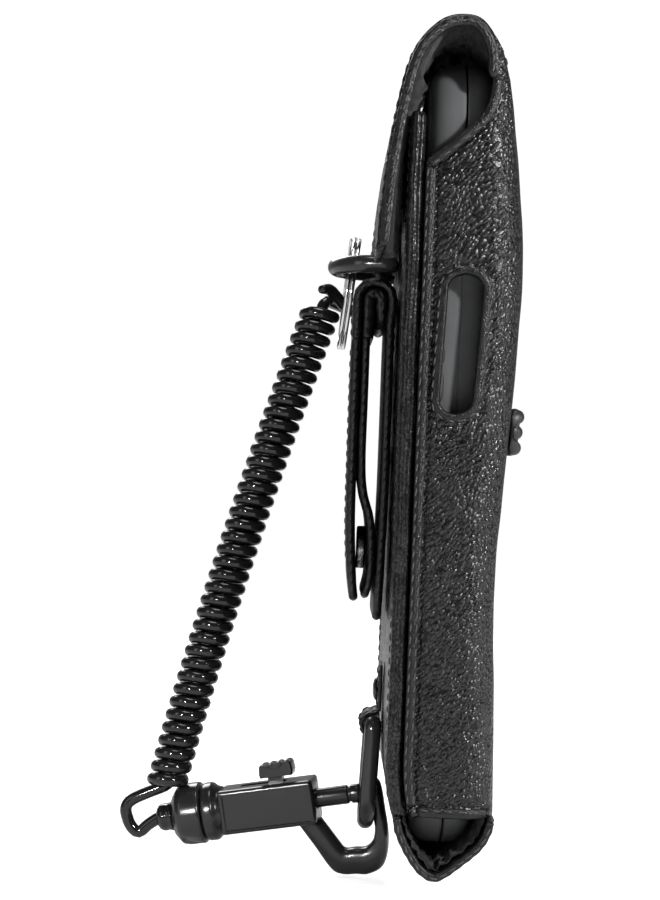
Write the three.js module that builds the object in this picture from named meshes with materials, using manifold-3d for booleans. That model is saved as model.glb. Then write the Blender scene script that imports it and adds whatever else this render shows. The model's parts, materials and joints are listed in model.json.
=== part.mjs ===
// A tall belt case of black pebbled leather with a coiled safety lanyard, holding a slab-shaped handheld.
// Millimetres, +Z up, +X towards the front, Y across the width. The origin is the middle of the face that
// a belt lies against, on the inner leg of the belt strap.
import * as THREE from 'three';
import { mergeVertices } from 'three/addons/utils/BufferGeometryUtils.js';
import Module from 'manifold-3d';

const wasm = await Module();
wasm.setup();

// ---- Driving dimensions ----------------------------------------------------------------------------
// Heights are counted from the lowest point of the leather and depths from the back panel's outer face,
// then the whole case is moved so that the belt face is the origin.
const BELT_FACE_DEPTH = -2.9;
const BELT_CENTRE_HEIGHT = 95;

const HALF_WIDTH = 44.6;
const GAP = 0.3;
const LEATHER = 1.5;
const LINING = 0.7;

const WRAP_REAR = 3.4;
const WRAP_BOTTOM = 13;
const WRAP_TOP = 165;
const WRAP_CORNER = 6.5;
const WRAP_STEPS = 16;
const FRONT_NOMINAL = 22;
const FRONT_HEIGHTS = [13, 32, 51, 70, 89, 108, 127, 146, 166];
const FRONT_DEPTHS = [22.6, 22.1, 21.3, 21.5, 22.8, 24.05, 24.35, 23.1, 20.15];
const TOP_EDGE = [[2.4, 147.05], [3.5, 147.9], [15.4, 158.6], [18.2, 165.9]];
const BINDING_WIDTH = 2.1;
const BINDING_THICK = 0.7;
const BINDING_OUT = HALF_WIDTH + GAP;
const LINING_HALF = 36.5;
const BEYOND = 60;

const WINDOW = { depth: 11, height: 110.4, halfWidth: 3, halfLength: 14.4, lean: 0.03 };
const RIM_WIDTH = 1.7;

const PANEL_THICK = 1.4;
const PANEL_EDGE = 3;
const PANEL_TOP = 158;
const PANEL_BEND_HEIGHT = 24;
const PANEL_BEND_DEPTH = 1.5;
const ROLL_WIDTH = 1.8;

const BADGE = { height: 93, halfLength: 34, pitch: 3.3, lobe: 1.6 };

const FLAP_HINGE = { depth: 20.15, height: 165.2 };
const FLAP_END = 128.2;
const ARCH_HALF_WIDTH = 25;
const ARCH_HEIGHT = 10.5;
const PATCH_LOW = 140;
const PATCH_HIGH = 149;
const PATCH_HALF = 24;
const PATCH_THICK = 0.55;

const STRAP_HALF = 17;
const PLY = 2;
const FOLD = { depth: -5.4, height: 121.05, radius: 4.8 };
const STRAP_HINGE_HEIGHT = 108.5;
const SNAP_HEIGHT = 66;

const UPPER_RING = { depth: -2.35, height: 129.2, halfWidth: 11.6, reach: 11.85, rod: 2 };
const LOWER_RING = { depth: -2.15, height: 26.5, halfWidth: 8, rod: 1.85 };
const LOWER_APEX = { depth: -2.95, height: 4.2 };
const KEEPER_LEATHER = 0.8;

const SPLIT_RING = { depth: -11.25, across: 9, height: 124, radius: 12.6, wire: 0.47, pitch: 1 };
const SPLIT_RING_LEAN = THREE.MathUtils.degToRad(5.5);

const CORD = 1.38;
const COIL = { radius: 3.4, turns: 38, sidesPerTurn: 9 };
const COIL_TOP = new THREE.Vector3(-17.3, 15.5, 120.5);
const COIL_BOTTOM = new THREE.Vector3(-48.6, 3.6, 9.6);
const COIL_BOW = new THREE.Vector3(-35.6, 9.5, 65.1);

const HOOK = { depth: -24.7, across: 3.3, height: 6.4, pitch: -10.5, yaw: -8 };
const BLOCK = { halfLength: 10.9, halfWidth: 5.5, low: -5.2, high: 4.9 };
const BORE = 2.45;
const BORE_REAR = -9.3;
const CAP = { left: -22.3, right: -15.3, radius: 7 };
const CORD_HOLE = 1.65;
const PIN_HOLE = 1.65;
const PLUNGER = { rear: 0.3, tip: 21.3, radius: 2.15 };
const SPRING = { rear: -9, radius: 1.65, wire: 0.25, turns: 7 };

const DEVICE = { rear: 4, front: 18.6, parting: 12, low: 5.2, high: 170.4, halfWidth: 40.4, corner: 13 };
const DEVICE_LEAN = THREE.MathUtils.degToRad(-0.25);
const DEVICE_WALL = 1.8;
const KEYS = [
  { name: 'side_key_lower', height: 101.8, length: 7 },
  { name: 'side_key_middle', height: 108.3, length: 4.4 },
  { name: 'side_key_upper', height: 116.5, length: 7 },
];
const KEY = { depth: 8, halfWidth: 1, proud: 1.4, sunk: 1.2 };

// ---- Finishes --------------------------------------------------------------------------------------
function finish(color, roughness, metalness = 0) {
  return new THREE.MeshStandardMaterial({ color, roughness, metalness });
}

const PEBBLED = finish(0x303033, 0.55);
const SMOOTH_LEATHER = finish(0x29292b, 0.5);
const FABRIC = finish(0x121214, 0.9);
const BOARD = finish(0x1c1c1c, 0.7);
const GREY_SHELL = finish(0x4d4f50, 0.6);
const HOOK_PLASTIC = finish(0x3a3b3d, 0.38);
const CORD_PLASTIC = finish(0x0e0e0f, 0.18);
const BLACK_METAL = finish(0x1f1f21, 0.35, 0.6);
const CHROME = finish(0xd0d2d4, 0.12, 1);
const STEEL = finish(0x9a9c9e, 0.3, 1);
const RUBBER = finish(0x2a2a2b, 0.7);

// ---- Solids: joining and cutting -------------------------------------------------------------------
function solid(geometry) {
  const bare = geometry.clone();
  bare.deleteAttribute('normal');
  bare.deleteAttribute('uv');
  const merged = mergeVertices(bare, 1e-4);
  const triVerts = new Uint32Array(merged.index.array);
  return new wasm.Manifold(new wasm.Mesh({
    numProp: 3,
    vertProperties: merged.attributes.position.array,
    triVerts,
  }));
}

function geometryOf(manifold) {
  const mesh = manifold.getMesh();
  const geometry = new THREE.BufferGeometry();
  geometry.setAttribute('position', new THREE.BufferAttribute(mesh.vertProperties, 3));
  geometry.setIndex(new THREE.BufferAttribute(mesh.triVerts, 1));
  geometry.computeVertexNormals();
  return geometry;
}

function cut(geometry, ...tools) {
  return geometryOf(tools.reduce((left, tool) => left.subtract(solid(tool)), solid(geometry)));
}

function join(...geometries) {
  const [first, ...others] = geometries.map(solid);
  return geometryOf(others.reduce((whole, other) => whole.add(other), first));
}

function common(geometry, tool) {
  return geometryOf(solid(geometry).intersect(solid(tool)));
}

function piece(parent, name, geometry, material) {
  const mesh = new THREE.Mesh(geometry, material);
  mesh.name = name;
  parent.add(mesh);
}

// ---- Shapes ----------------------------------------------------------------------------------------
function outline(points) {
  return new THREE.Shape(points.map(([x, y]) => new THREE.Vector2(x, y)));
}

// A side outline (depth, height) swept across the width, from Y = low to Y = high.
function across(shape, low, high, curveSegments = 8) {
  const settings = { depth: high - low, bevelEnabled: false, curveSegments };
  const geometry = new THREE.ExtrudeGeometry(shape, settings);
  geometry.rotateX(Math.PI / 2);
  geometry.translate(0, high, 0);
  return geometry;
}

function block(x0, x1, y0, y1, z0, z1, steps = 1) {
  const geometry = new THREE.BoxGeometry(x1 - x0, y1 - y0, z1 - z0, 1, 1, steps);
  geometry.translate((x0 + x1) / 2, (y0 + y1) / 2, (z0 + z1) / 2);
  return geometry;
}

// A disc or rod along X.
function rodX(radius, x0, x1, y, z, sides = 20) {
  const geometry = new THREE.CylinderGeometry(radius, radius, x1 - x0, sides);
  geometry.rotateZ(-Math.PI / 2);
  geometry.translate((x0 + x1) / 2, y, z);
  return geometry;
}

function rodY(radius, y0, y1, x, z, sides = 20) {
  const geometry = new THREE.CylinderGeometry(radius, radius, y1 - y0, sides);
  geometry.translate(x, (y0 + y1) / 2, z);
  return geometry;
}

// A turned piece about the X axis from (distance along X, radius) pairs.
function turned(profile, sides = 24) {
  const geometry = new THREE.LatheGeometry(profile.map(([x, r]) => new THREE.Vector2(r, x)), sides);
  geometry.rotateZ(-Math.PI / 2);
  return geometry;
}

function circleShape(radius, sides) {
  const corners = Array.from({ length: sides }, (_, i) => (2 * Math.PI * i) / sides);
  return outline(corners.map((a) => [radius * Math.cos(a), radius * Math.sin(a)]));
}

function tube(curve, radius, steps, sides) {
  const section = circleShape(radius, sides);
  return new THREE.ExtrudeGeometry(section, { steps, bevelEnabled: false, extrudePath: curve });
}

// The band between two distances to the left of a run of points.
function band(points, near, far) {
  const sides = points.map((point, i) => {
    const before = points[Math.max(i - 1, 0)];
    const after = points[Math.min(i + 1, points.length - 1)];
    const along = new THREE.Vector2(after[0] - before[0], after[1] - before[1]).normalize();
    return (distance) => [point[0] - along.y * distance, point[1] + along.x * distance];
  });
  return outline([...sides.map((side) => side(near)), ...sides.map((side) => side(far)).reverse()]);
}

function smoothRun(points, count) {
  const flat = points.map(([x, z]) => new THREE.Vector3(x, 0, z));
  const curve = new THREE.CatmullRomCurve3(flat, false, 'centripetal');
  return curve.getSpacedPoints(count).map((p) => [p.x, p.z]);
}

function arcRun(x, z, radius, from, to, count) {
  return Array.from({ length: count + 1 }, (_, i) => {
    const angle = THREE.MathUtils.degToRad(from + ((to - from) * i) / count);
    return [x + radius * Math.cos(angle), z + radius * Math.sin(angle)];
  });
}

// An upright oval (capsule) in side view, leaning forward as it rises.
function ovalShape(halfWidth, halfLength, segments = 10) {
  const straight = halfLength - halfWidth;
  const top = arcRun(0, straight, halfWidth, 0, 180, segments);
  const bottom = arcRun(0, -straight, halfWidth, 180, 360, segments);
  const lean = Math.sin(WINDOW.lean);
  return outline([...top, ...bottom].map(([x, z]) => [WINDOW.depth + x + z * lean, WINDOW.height + z]));
}

// ---- The bulging front and the tucked-in foot ------------------------------------------------------
const frontCurve = new THREE.CubicInterpolant(FRONT_HEIGHTS, FRONT_DEPTHS, 1);

function frontDepth(height) {
  return frontCurve.evaluate(THREE.MathUtils.clamp(height, WRAP_BOTTOM, 166))[0];
}

function footDepth(height) {
  const drop = Math.max(PANEL_BEND_HEIGHT - height, 0) / (PANEL_BEND_HEIGHT - WRAP_BOTTOM);
  return PANEL_BEND_DEPTH * drop * drop;
}

// Moves an upright piece's walls with the case: its rear with the foot, its front with the bulge.
function follow(geometry) {
  const position = geometry.attributes.position;
  for (let i = 0; i < position.count; i += 1) {
    const height = position.getZ(i);
    const share = THREE.MathUtils.smoothstep(position.getX(i), WRAP_REAR, FRONT_NOMINAL - LEATHER);
    const shift = footDepth(height) * (1 - share) + (frontDepth(height) - FRONT_NOMINAL) * share;
    position.setX(i, position.getX(i) + shift);
  }
  return geometry;
}

// The plan outline of the wrap: two sides and a front with rounded corners, open at the rear.
function wrapSection(halfOut, front, halfIn, frontIn, corner, cornerIn) {
  const arc = (x, y, radius, from, to) => arcRun(x, y, radius, from, to, 5);
  return outline([
    [WRAP_REAR, -halfOut],
    ...arc(front - corner, -halfOut + corner, corner, -90, 0),
    ...arc(front - corner, halfOut - corner, corner, 0, 90),
    [WRAP_REAR, halfOut],
    [WRAP_REAR, halfIn],
    ...arc(frontIn - cornerIn, halfIn - cornerIn, cornerIn, 90, 0),
    ...arc(frontIn - cornerIn, -halfIn + cornerIn, cornerIn, 0, -90),
    [WRAP_REAR, -halfIn],
  ]);
}

function uprightWrap(out, thick, low, high, steps) {
  const halfOut = HALF_WIDTH + out;
  const front = FRONT_NOMINAL + out;
  const corner = WRAP_CORNER + out;
  const section = wrapSection(halfOut, front, halfOut - thick, front - thick, corner, corner - thick);
  const geometry = new THREE.ExtrudeGeometry(section, { depth: high - low, steps, bevelEnabled: false });
  geometry.translate(0, 0, low);
  return follow(geometry);
}

// ---- The leather body ------------------------------------------------------------------------------
function aboveTopEdge() {
  return outline([[-8, 139], ...TOP_EDGE, [18.2, 180], [-8, 180]]);
}

function topEdgeBand() {
  return band(TOP_EDGE, -0.05, -BINDING_WIDTH);
}

function frontWrap() {
  const wall = uprightWrap(0, LEATHER, WRAP_BOTTOM, WRAP_TOP, WRAP_STEPS);
  const top = across(aboveTopEdge(), -BEYOND, BEYOND);
  const window = across(ovalShape(WINDOW.halfWidth, WINDOW.halfLength), -BEYOND, -BEYOND / 2);
  return cut(wall, top, window);
}

// A thin layer lying on the outside of the wrap, on one side of the case.
function sideLayer(shape, side, thick = BINDING_THICK) {
  const layer = uprightWrap(GAP + thick, thick, WRAP_BOTTOM, WRAP_TOP, WRAP_STEPS);
  return common(layer, side < 0 ? across(shape, -BEYOND, -BEYOND / 2) : across(shape, BEYOND / 2, BEYOND));
}

function sideBinding(side) {
  const low = side < 0 ? -BINDING_OUT - BINDING_THICK : BINDING_OUT;
  const bottom = WRAP_BOTTOM + BINDING_WIDTH + 0.2;
  const top = TOP_EDGE[1][1] - 3;
  const strip = block(WRAP_REAR, WRAP_REAR + BINDING_WIDTH - 0.2, low, low + BINDING_THICK, bottom, top, 12);
  return follow(strip);
}

function bottomBinding(side) {
  const low = WRAP_BOTTOM - 1;
  const high = WRAP_BOTTOM + 2;
  return sideLayer(outline([[6.4, low], [20, low], [20, high], [6.4, high]]), side);
}

function windowRim() {
  const rim = ovalShape(WINDOW.halfWidth + RIM_WIDTH, WINDOW.halfLength + RIM_WIDTH);
  rim.holes.push(ovalShape(WINDOW.halfWidth, WINDOW.halfLength));
  return sideLayer(rim, -1, 0.9);
}

function frontBadge() {
  const base = BADGE.lobe - 0.2;
  const lobes = [1, 0, -1].flatMap((i) => arcRun(base, i * BADGE.pitch, BADGE.lobe, 70, -70, 5));
  const shape = outline([[0, 1.5 * BADGE.pitch], ...lobes, [0, -1.5 * BADGE.pitch]].reverse());
  const bar = across(shape, -BADGE.halfLength, BADGE.halfLength);
  const rise = frontDepth(BADGE.height + 5) - frontDepth(BADGE.height - 5);
  bar.rotateY(Math.atan(rise / 10));
  bar.translate(frontDepth(BADGE.height) + 0.45, 0, BADGE.height);
  return bar;
}

function backPanel() {
  const half = HALF_WIDTH - 0.3;
  const round = 1.2;
  const edge = arcRun(round, -half + round, round, 270, 180, 3);
  const otherEdge = arcRun(round, half - round, round, 180, 90, 3);
  const section = outline([
    ...edge,
    ...otherEdge,
    [PANEL_EDGE, half],
    [PANEL_EDGE, half - ROLL_WIDTH],
    [PANEL_THICK, half - ROLL_WIDTH],
    [PANEL_THICK, -half + ROLL_WIDTH],
    [PANEL_EDGE, -half + ROLL_WIDTH],
    [PANEL_EDGE, -half],
  ].reverse());
  const low = WRAP_BOTTOM + 0.2;
  const footSettings = { depth: PANEL_BEND_HEIGHT - low, steps: 4, bevelEnabled: false };
  const foot = new THREE.ExtrudeGeometry(section, footSettings);
  foot.translate(0, 0, low);
  const position = foot.attributes.position;
  for (let i = 0; i < position.count; i += 1) {
    position.setX(i, position.getX(i) + footDepth(position.getZ(i)));
  }
  const uprightSettings = { depth: PANEL_TOP - PANEL_BEND_HEIGHT, bevelEnabled: false };
  const upright = new THREE.ExtrudeGeometry(section, uprightSettings);
  upright.translate(0, 0, PANEL_BEND_HEIGHT);
  return join(foot, upright);
}

const FOOT_RUN = [
  [22.6, 15], [21.8, 9.9], [19.8, 6.6], [15.4, 2.8], [12.4, 0.6], [10.5, 0],
  [8.6, 0.6], [6.3, 2.6], [3.7, 6.6], [2.2, 10], [1.4, 15],
];

function footPly(near, far, half, top) {
  const run = smoothRun(FOOT_RUN, 20);
  const strip = across(band(run, -near, -far), -half, half);
  return cut(strip, block(-10, 40, -BEYOND, BEYOND, top, 40));
}

function frontLining() {
  const low = WRAP_BOTTOM + 3;
  const high = WRAP_TOP - 5;
  const steps = 13;
  const heights = Array.from({ length: steps + 1 }, (_, i) => low + (i * (high - low)) / steps);
  const run = heights.map((z) => [frontDepth(z), z]);
  return across(band(run, LEATHER + 0.25, LEATHER + LINING), -LINING_HALF, LINING_HALF);
}

function buildBody(root) {
  piece(root, 'front_wrap', frontWrap(), PEBBLED);
  piece(root, 'side_binding_near', sideBinding(-1), SMOOTH_LEATHER);
  piece(root, 'side_binding_far', sideBinding(1), SMOOTH_LEATHER);
  piece(root, 'top_binding_near', sideLayer(topEdgeBand(), -1), SMOOTH_LEATHER);
  piece(root, 'top_binding_far', sideLayer(topEdgeBand(), 1), SMOOTH_LEATHER);
  piece(root, 'bottom_binding_near', bottomBinding(-1), SMOOTH_LEATHER);
  piece(root, 'bottom_binding_far', bottomBinding(1), SMOOTH_LEATHER);
  piece(root, 'window_rim', windowRim(), SMOOTH_LEATHER);
  piece(root, 'front_badge', frontBadge(), RUBBER);
  piece(root, 'back_panel', backPanel(), PEBBLED);
  piece(root, 'back_stiffener', block(1.7, 2.25, -41.5, 41.5, 26, 150), BOARD);
  piece(root, 'back_lining', block(2.5, 3, -42, 42, 24, 155), FABRIC);
  piece(root, 'front_lining', frontLining(), FABRIC);
  piece(root, 'bottom_wrap', footPly(0, LEATHER, HALF_WIDTH, 12.7), PEBBLED);
  piece(root, 'bottom_lining', footPly(LEATHER + GAP, LEATHER + GAP + 0.6, 43, 8), FABRIC);
}

// ---- The flap: a hood hinged at the top of the front -----------------------------------------------
const FLAP_RUN = [
  [FLAP_HINGE.depth, FLAP_HINGE.height + 0.3], [18.7, 171], [14.6, 176.8], [10.5, 178.3], [5, 176.7],
  [-0.2, 170.6], [-2.9, 160.5], [-4.5, 150.2], [-5.6, 139.3], [-6.3, FLAP_END],
];

function hoodPart(run, first, last, near, far, half) {
  return across(band(run.slice(first, last), near, far), -half, half);
}

// The arched cut in the flap's free end that clears the upper ring.
function arch(margin) {
  const shape = new THREE.Shape();
  shape.absellipse(0, FLAP_END - 1, ARCH_HALF_WIDTH + margin, ARCH_HEIGHT + 1 + margin, 0, 2 * Math.PI);
  const geometry = new THREE.ExtrudeGeometry(shape, { depth: 20, bevelEnabled: false, curveSegments: 14 });
  geometry.rotateX(Math.PI / 2);
  geometry.rotateZ(Math.PI / 2);
  geometry.translate(-12, 0, 0);
  return geometry;
}

function buildFlap(root) {
  const run = smoothRun(FLAP_RUN, 30);
  const count = run.length;
  piece(root, 'flap_outer', cut(hoodPart(run, 0, count, 0, LEATHER, HALF_WIDTH), arch(0)), PEBBLED);
  const liningFrom = LEATHER + 0.25;
  const liningTo = LEATHER + LINING;
  const lining = hoodPart(run, 3, count - 1, liningFrom, liningTo, HALF_WIDTH - 1);
  const liningSetBack = 0.8;
  piece(root, 'flap_lining', cut(lining, arch(liningSetBack)), FABRIC);
  const edge = band(run.slice(2, count), 0, liningTo);
  piece(root, 'flap_binding_near', across(edge, -BINDING_OUT - BINDING_THICK, -BINDING_OUT), SMOOTH_LEATHER);
  piece(root, 'flap_binding_far', across(edge, BINDING_OUT, BINDING_OUT + BINDING_THICK), SMOOTH_LEATHER);
  const onFlap = run.filter(([x, z]) => x < 0 && z > PATCH_LOW && z < PATCH_HIGH);
  const hookRun = band(onFlap, liningTo + 0.25, liningTo + 0.25 + PATCH_THICK);
  piece(root, 'flap_hook_patch', across(hookRun, -PATCH_HALF, PATCH_HALF), FABRIC);
  const loop = block(-0.25 - PATCH_THICK, -0.25, -PATCH_HALF, PATCH_HALF, PATCH_LOW, PATCH_HIGH);
  piece(root, 'panel_loop_patch', loop, FABRIC);
}

// ---- The belt strap --------------------------------------------------------------------------------
const INNER_LEG = [[-1.5, 50.4], [-0.9, 78.5], [-0.9, 113.5], [-0.6, 120]];
const OUTER_LEG = [[-10.2, 108.2], [-10.15, 88], [-10, 72], [-9.3, 60], [-8.6, 54.4]];
const INNER_PLY = [[-6.2, 108.2], [-6.2, 86], [-5.9, 80], [-3.35, 73], [-3.35, 59.5], [-4.9, 54.4]];

function beltStrapFold() {
  const arc = arcRun(FOLD.depth, FOLD.height, FOLD.radius, 0, 180, 12);
  const run = [...INNER_LEG, ...arc, [-10.2, STRAP_HINGE_HEIGHT + 0.4]];
  return across(band(run, 0, PLY), -STRAP_HALF, STRAP_HALF);
}

function foldLining() {
  const radius = FOLD.radius - PLY - 0.25;
  const arc = arcRun(FOLD.depth, FOLD.height, radius, 0, 180, 10);
  const run = [[FOLD.depth + radius - 0.4, 114.5], ...arc, [-8, STRAP_HINGE_HEIGHT + 0.4]];
  return across(band(run, 0, PLY - 0.2), -STRAP_HALF, STRAP_HALF);
}

function snapStud() {
  const base = rodX(4.5, -3.8, -3.45, 0, SNAP_HEIGHT);
  const post = rodX(1.5, -6.6, -3.6, 0, SNAP_HEIGHT, 12);
  return join(base, post);
}

function snapSocket() {
  const cup = rodX(4.8, -7.35, -5.3, 0, SNAP_HEIGHT);
  return cut(cup, rodX(2.1, -7, -5, 0, SNAP_HEIGHT, 12));
}

function innerPly() {
  const ply = across(band(INNER_PLY, -PLY + 0.2, 0), -STRAP_HALF, STRAP_HALF);
  return cut(ply, rodX(5.1, -9, -2, 0, SNAP_HEIGHT));
}

function buildStrap(root) {
  piece(root, 'belt_strap_fold', beltStrapFold(), SMOOTH_LEATHER);
  piece(root, 'belt_strap_fold_lining', foldLining(), SMOOTH_LEATHER);
  const outer = across(band(OUTER_LEG, 0, PLY), -STRAP_HALF, STRAP_HALF);
  piece(root, 'belt_strap_outer_ply', outer, SMOOTH_LEATHER);
  piece(root, 'belt_strap_inner_ply', innerPly(), SMOOTH_LEATHER);
  piece(root, 'snap_stud', snapStud(), STEEL);
  piece(root, 'snap_socket', snapSocket(), STEEL);
}

// ---- Rings and their leather keepers ---------------------------------------------------------------
// A D-shaped ring in the XY plane: a straight bar along Y at x = 0 and a bow reaching to x = -reach.
function dRing(halfWidth, reach, rod, straight) {
  const round = reach - straight;
  const bow = arcRun(0, 0, 1, 90, 270, 8).map(([x, y]) => [x * round - straight, y * halfWidth]);
  const corner = 0.86 * halfWidth;
  const points = [...bow, [-0.7, -halfWidth], [0, -corner], [0, 0], [0, corner], [-0.7, halfWidth]];
  const corners = points.map(([x, y]) => new THREE.Vector3(x, y, 0));
  const path = new THREE.CatmullRomCurve3(corners, true, 'centripetal');
  return new THREE.TubeGeometry(path, 44, rod, 8, true);
}

// A leather loop over a ring's bar, sewn to the panel below the bar, with a tail that runs up the panel.
function keeper(ring, tailTop, half) {
  const inner = ring.rod + 0.22;
  const outer = inner + KEEPER_LEATHER;
  const loop = rodY(outer, -half, half, ring.depth, ring.height, 24);
  const tail = block(-0.35 - KEEPER_LEATHER, -0.35, -half, half, ring.height, tailTop);
  const bore = rodY(inner, -half - 1, half + 1, ring.depth, ring.height, 24);
  const panelSide = block(-0.35, 10, -half - 1, half + 1, ring.height - 10, ring.height + 20);
  return cut(join(loop, tail), bore, panelSide);
}

function buildRings(root) {
  const upper = dRing(UPPER_RING.halfWidth, UPPER_RING.reach, UPPER_RING.rod, 2);
  upper.translate(UPPER_RING.depth, 0, UPPER_RING.height);
  piece(root, 'upper_d_ring', upper, BLACK_METAL);
  piece(root, 'upper_ring_keeper', keeper(UPPER_RING, 138.5, 8.4), SMOOTH_LEATHER);

  const drop = LOWER_RING.height - LOWER_APEX.height;
  const lower = dRing(LOWER_RING.halfWidth, drop, LOWER_RING.rod, drop - LOWER_RING.halfWidth);
  const tilt = Math.atan((LOWER_RING.depth - LOWER_APEX.depth) / drop);
  lower.rotateY(-Math.PI / 2 + tilt);
  lower.translate(LOWER_RING.depth, 0, LOWER_RING.height);
  piece(root, 'lower_d_ring', lower, BLACK_METAL);
  const tab = keeper(LOWER_RING, 40, 5.2);
  piece(root, 'lower_ring_tab', cut(tab, rodX(1.35, -3, 2, 0, 34, 12)), SMOOTH_LEATHER);
  const head = [[-2.4, 0], [-2.3, 1.4], [-1.7, 2.6], [-1.4, 2.6]];
  const rivet = turned([...head, [-1.4, 1.1], [-0.35, 1.1], [-0.35, 0]], 16);
  rivet.translate(0, 0, 34);
  piece(root, 'tab_rivet', rivet, BLACK_METAL);
}

// ---- The hook assembly, built along its own X axis -------------------------------------------------
function hookFrame() {
  const frame = new THREE.Group();
  frame.position.set(HOOK.depth, HOOK.across, HOOK.height);
  const { degToRad } = THREE.MathUtils;
  frame.rotation.set(0, degToRad(HOOK.pitch), degToRad(HOOK.yaw), 'ZYX');
  frame.updateMatrix();
  return frame;
}

function hookArm() {
  const shape = new THREE.Shape();
  shape.moveTo(5.6, -4.6);
  shape.lineTo(12.1, -16.2);
  shape.quadraticCurveTo(12.9, -17.6, 14.6, -17.7);
  shape.lineTo(20.5, -18.3);
  shape.bezierCurveTo(24.4, -18.6, 25.7, -15.4, 26, -11);
  shape.lineTo(26.1, -4);
  shape.bezierCurveTo(26.1, -0.6, 26.2, 3.9, 24.2, 4.1);
  shape.bezierCurveTo(22.6, 4.2, 21.9, 2.9, 22.1, 0.8);
  shape.lineTo(23.3, -5.6);
  shape.bezierCurveTo(23.3, -9.6, 22.6, -11.9, 20.6, -12.1);
  shape.lineTo(15.8, -11.9);
  shape.lineTo(11.4, -4.6);
  const bevel = 1;
  const edges = { bevelThickness: bevel, bevelSize: bevel, bevelOffset: -bevel, bevelSegments: 2 };
  const arm = new THREE.ExtrudeGeometry(shape, { ...edges, depth: 3, curveSegments: 4 });
  arm.rotateX(Math.PI / 2);
  arm.translate(0, 1.5, 0);
  return arm;
}

function roundedBlock() {
  const { halfLength, halfWidth, low, high } = BLOCK;
  const r = 1;
  const corners = [
    ...arcRun(halfWidth - r, high - r, r, 0, 90, 2),
    ...arcRun(-halfWidth + r, high - r, r, 90, 180, 2),
    ...arcRun(-halfWidth + r, low + r, r, 180, 270, 2),
    ...arcRun(halfWidth - r, low + r, r, 270, 360, 2),
  ];
  const section = outline(corners);
  const body = new THREE.ExtrudeGeometry(section, { depth: 2 * halfLength, bevelEnabled: false });
  body.applyMatrix4(new THREE.Matrix4().makeBasis(
    new THREE.Vector3(0, 1, 0),
    new THREE.Vector3(0, 0, 1),
    new THREE.Vector3(1, 0, 0),
  ));
  body.translate(-halfLength, 0, 0);
  return body;
}

function hookBody() {
  const collar = turned([[-15, 0], [-15, 6.2], [-14.6, 6.6], [-12.4, 6.6], [-10.4, 5], [-10.4, 0]]);
  const whole = join(roundedBlock(), collar, hookArm());
  const bore = rodX(BORE, BORE_REAR, 14, 0, 0, 16);
  const slot = block(-6, 4.6, -1.6, 1.6, 0, 8);
  const pinHole = rodX(PIN_HOLE, -16, -12, 0, 0, 12);
  return cut(whole, bore, slot, pinHole);
}

function plunger() {
  const { rear, tip, radius } = PLUNGER;
  return turned([
    [rear, 0], [rear, radius], [tip - 3, radius], [tip - 2.7, radius - 0.35], [tip - 2.4, radius],
    [tip - 0.5, radius], [tip, radius - 0.5], [tip, 0],
  ], 16);
}

function thumbKnob() {
  const stem = block(0.6, 3.9, -1.3, 1.3, PLUNGER.radius + 0.15, 6.6);
  const ribs = [0, 1, 2, 3].flatMap((i) => arcRun(-0.1 + i * 1.9, 8.4 + i * 0.12, 0.95, 170, 10, 3));
  const head = across(outline([[6.4, 6.1], ...ribs.reverse(), [-1, 6.1]]), -2.8, 2.8);
  return join(stem, head);
}

function springCurve() {
  const curve = new THREE.Curve();
  const length = PLUNGER.rear - 0.35 - SPRING.rear - 0.35;
  curve.getPoint = (t, target = new THREE.Vector3()) => {
    const angle = 2 * Math.PI * SPRING.turns * t;
    const x = SPRING.rear + 0.35 + length * t;
    return target.set(x, SPRING.radius * Math.cos(angle), SPRING.radius * Math.sin(angle));
  };
  return curve;
}

function swivelCap() {
  const cup = turned([
    [CAP.left, 0], [CAP.left, 4.4], [CAP.left + 1.6, CAP.radius - 0.6], [CAP.left + 2.4, CAP.radius],
    [CAP.right - 0.4, CAP.radius], [CAP.right, CAP.radius - 0.4], [CAP.right, 0],
  ]);
  const hollow = rodX(4.4, CAP.left + 1.7, CAP.right - 1.7, 0, 0, 16);
  const cordHole = rodX(CORD_HOLE + 0.1, CAP.left - 1, CAP.left + 3, 0, 0, 12);
  const pinHole = rodX(PIN_HOLE, CAP.right - 3, CAP.right + 1, 0, 0, 12);
  const notch = block(CAP.left + 2, CAP.left + 4.6, -3.2, 0.6, -9, -3);
  return cut(cup, hollow, cordHole, pinHole, notch);
}

function swivelPin() {
  const head = CAP.right - 1.9;
  return turned([[head - 1.3, 0], [head - 1.3, 3], [head, 3], [head, 1.4], [-12.3, 1.4], [-12.3, 0]], 16);
}

function cordBoot() {
  const rear = CAP.left - 4.1;
  const front = CAP.left - 0.3;
  const profile = [[rear, 0], [rear + 0.2, 2.7], [rear + 1.4, 3.2], [front - 1, 3], [front, 3.5], [front, 0]];
  return cut(turned(profile, 16), rodX(CORD_HOLE, rear - 1, front + 1, 0, 0, 12));
}

function cordStop() {
  const rear = CAP.left + 2.1;
  return cut(rodX(2.9, rear, rear + 1.1, 0, 0, 16), rodX(CORD_HOLE, rear - 1, rear + 2, 0, 0, 12));
}

function buildHook(root) {
  const frame = hookFrame();
  root.add(frame);
  piece(frame, 'hook_body', hookBody(), HOOK_PLASTIC);
  piece(frame, 'plunger', plunger(), HOOK_PLASTIC);
  piece(frame, 'thumb_knob', thumbKnob(), HOOK_PLASTIC);
  piece(frame, 'plunger_spring', tube(springCurve(), SPRING.wire, 84, 5), STEEL);
  piece(frame, 'swivel_cap', swivelCap(), HOOK_PLASTIC);
  piece(frame, 'swivel_pin', swivelPin(), STEEL);
  piece(frame, 'cord_boot', cordBoot(), CORD_PLASTIC);
  piece(frame, 'cord_stop', cordStop(), STEEL);
  return frame;
}

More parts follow.
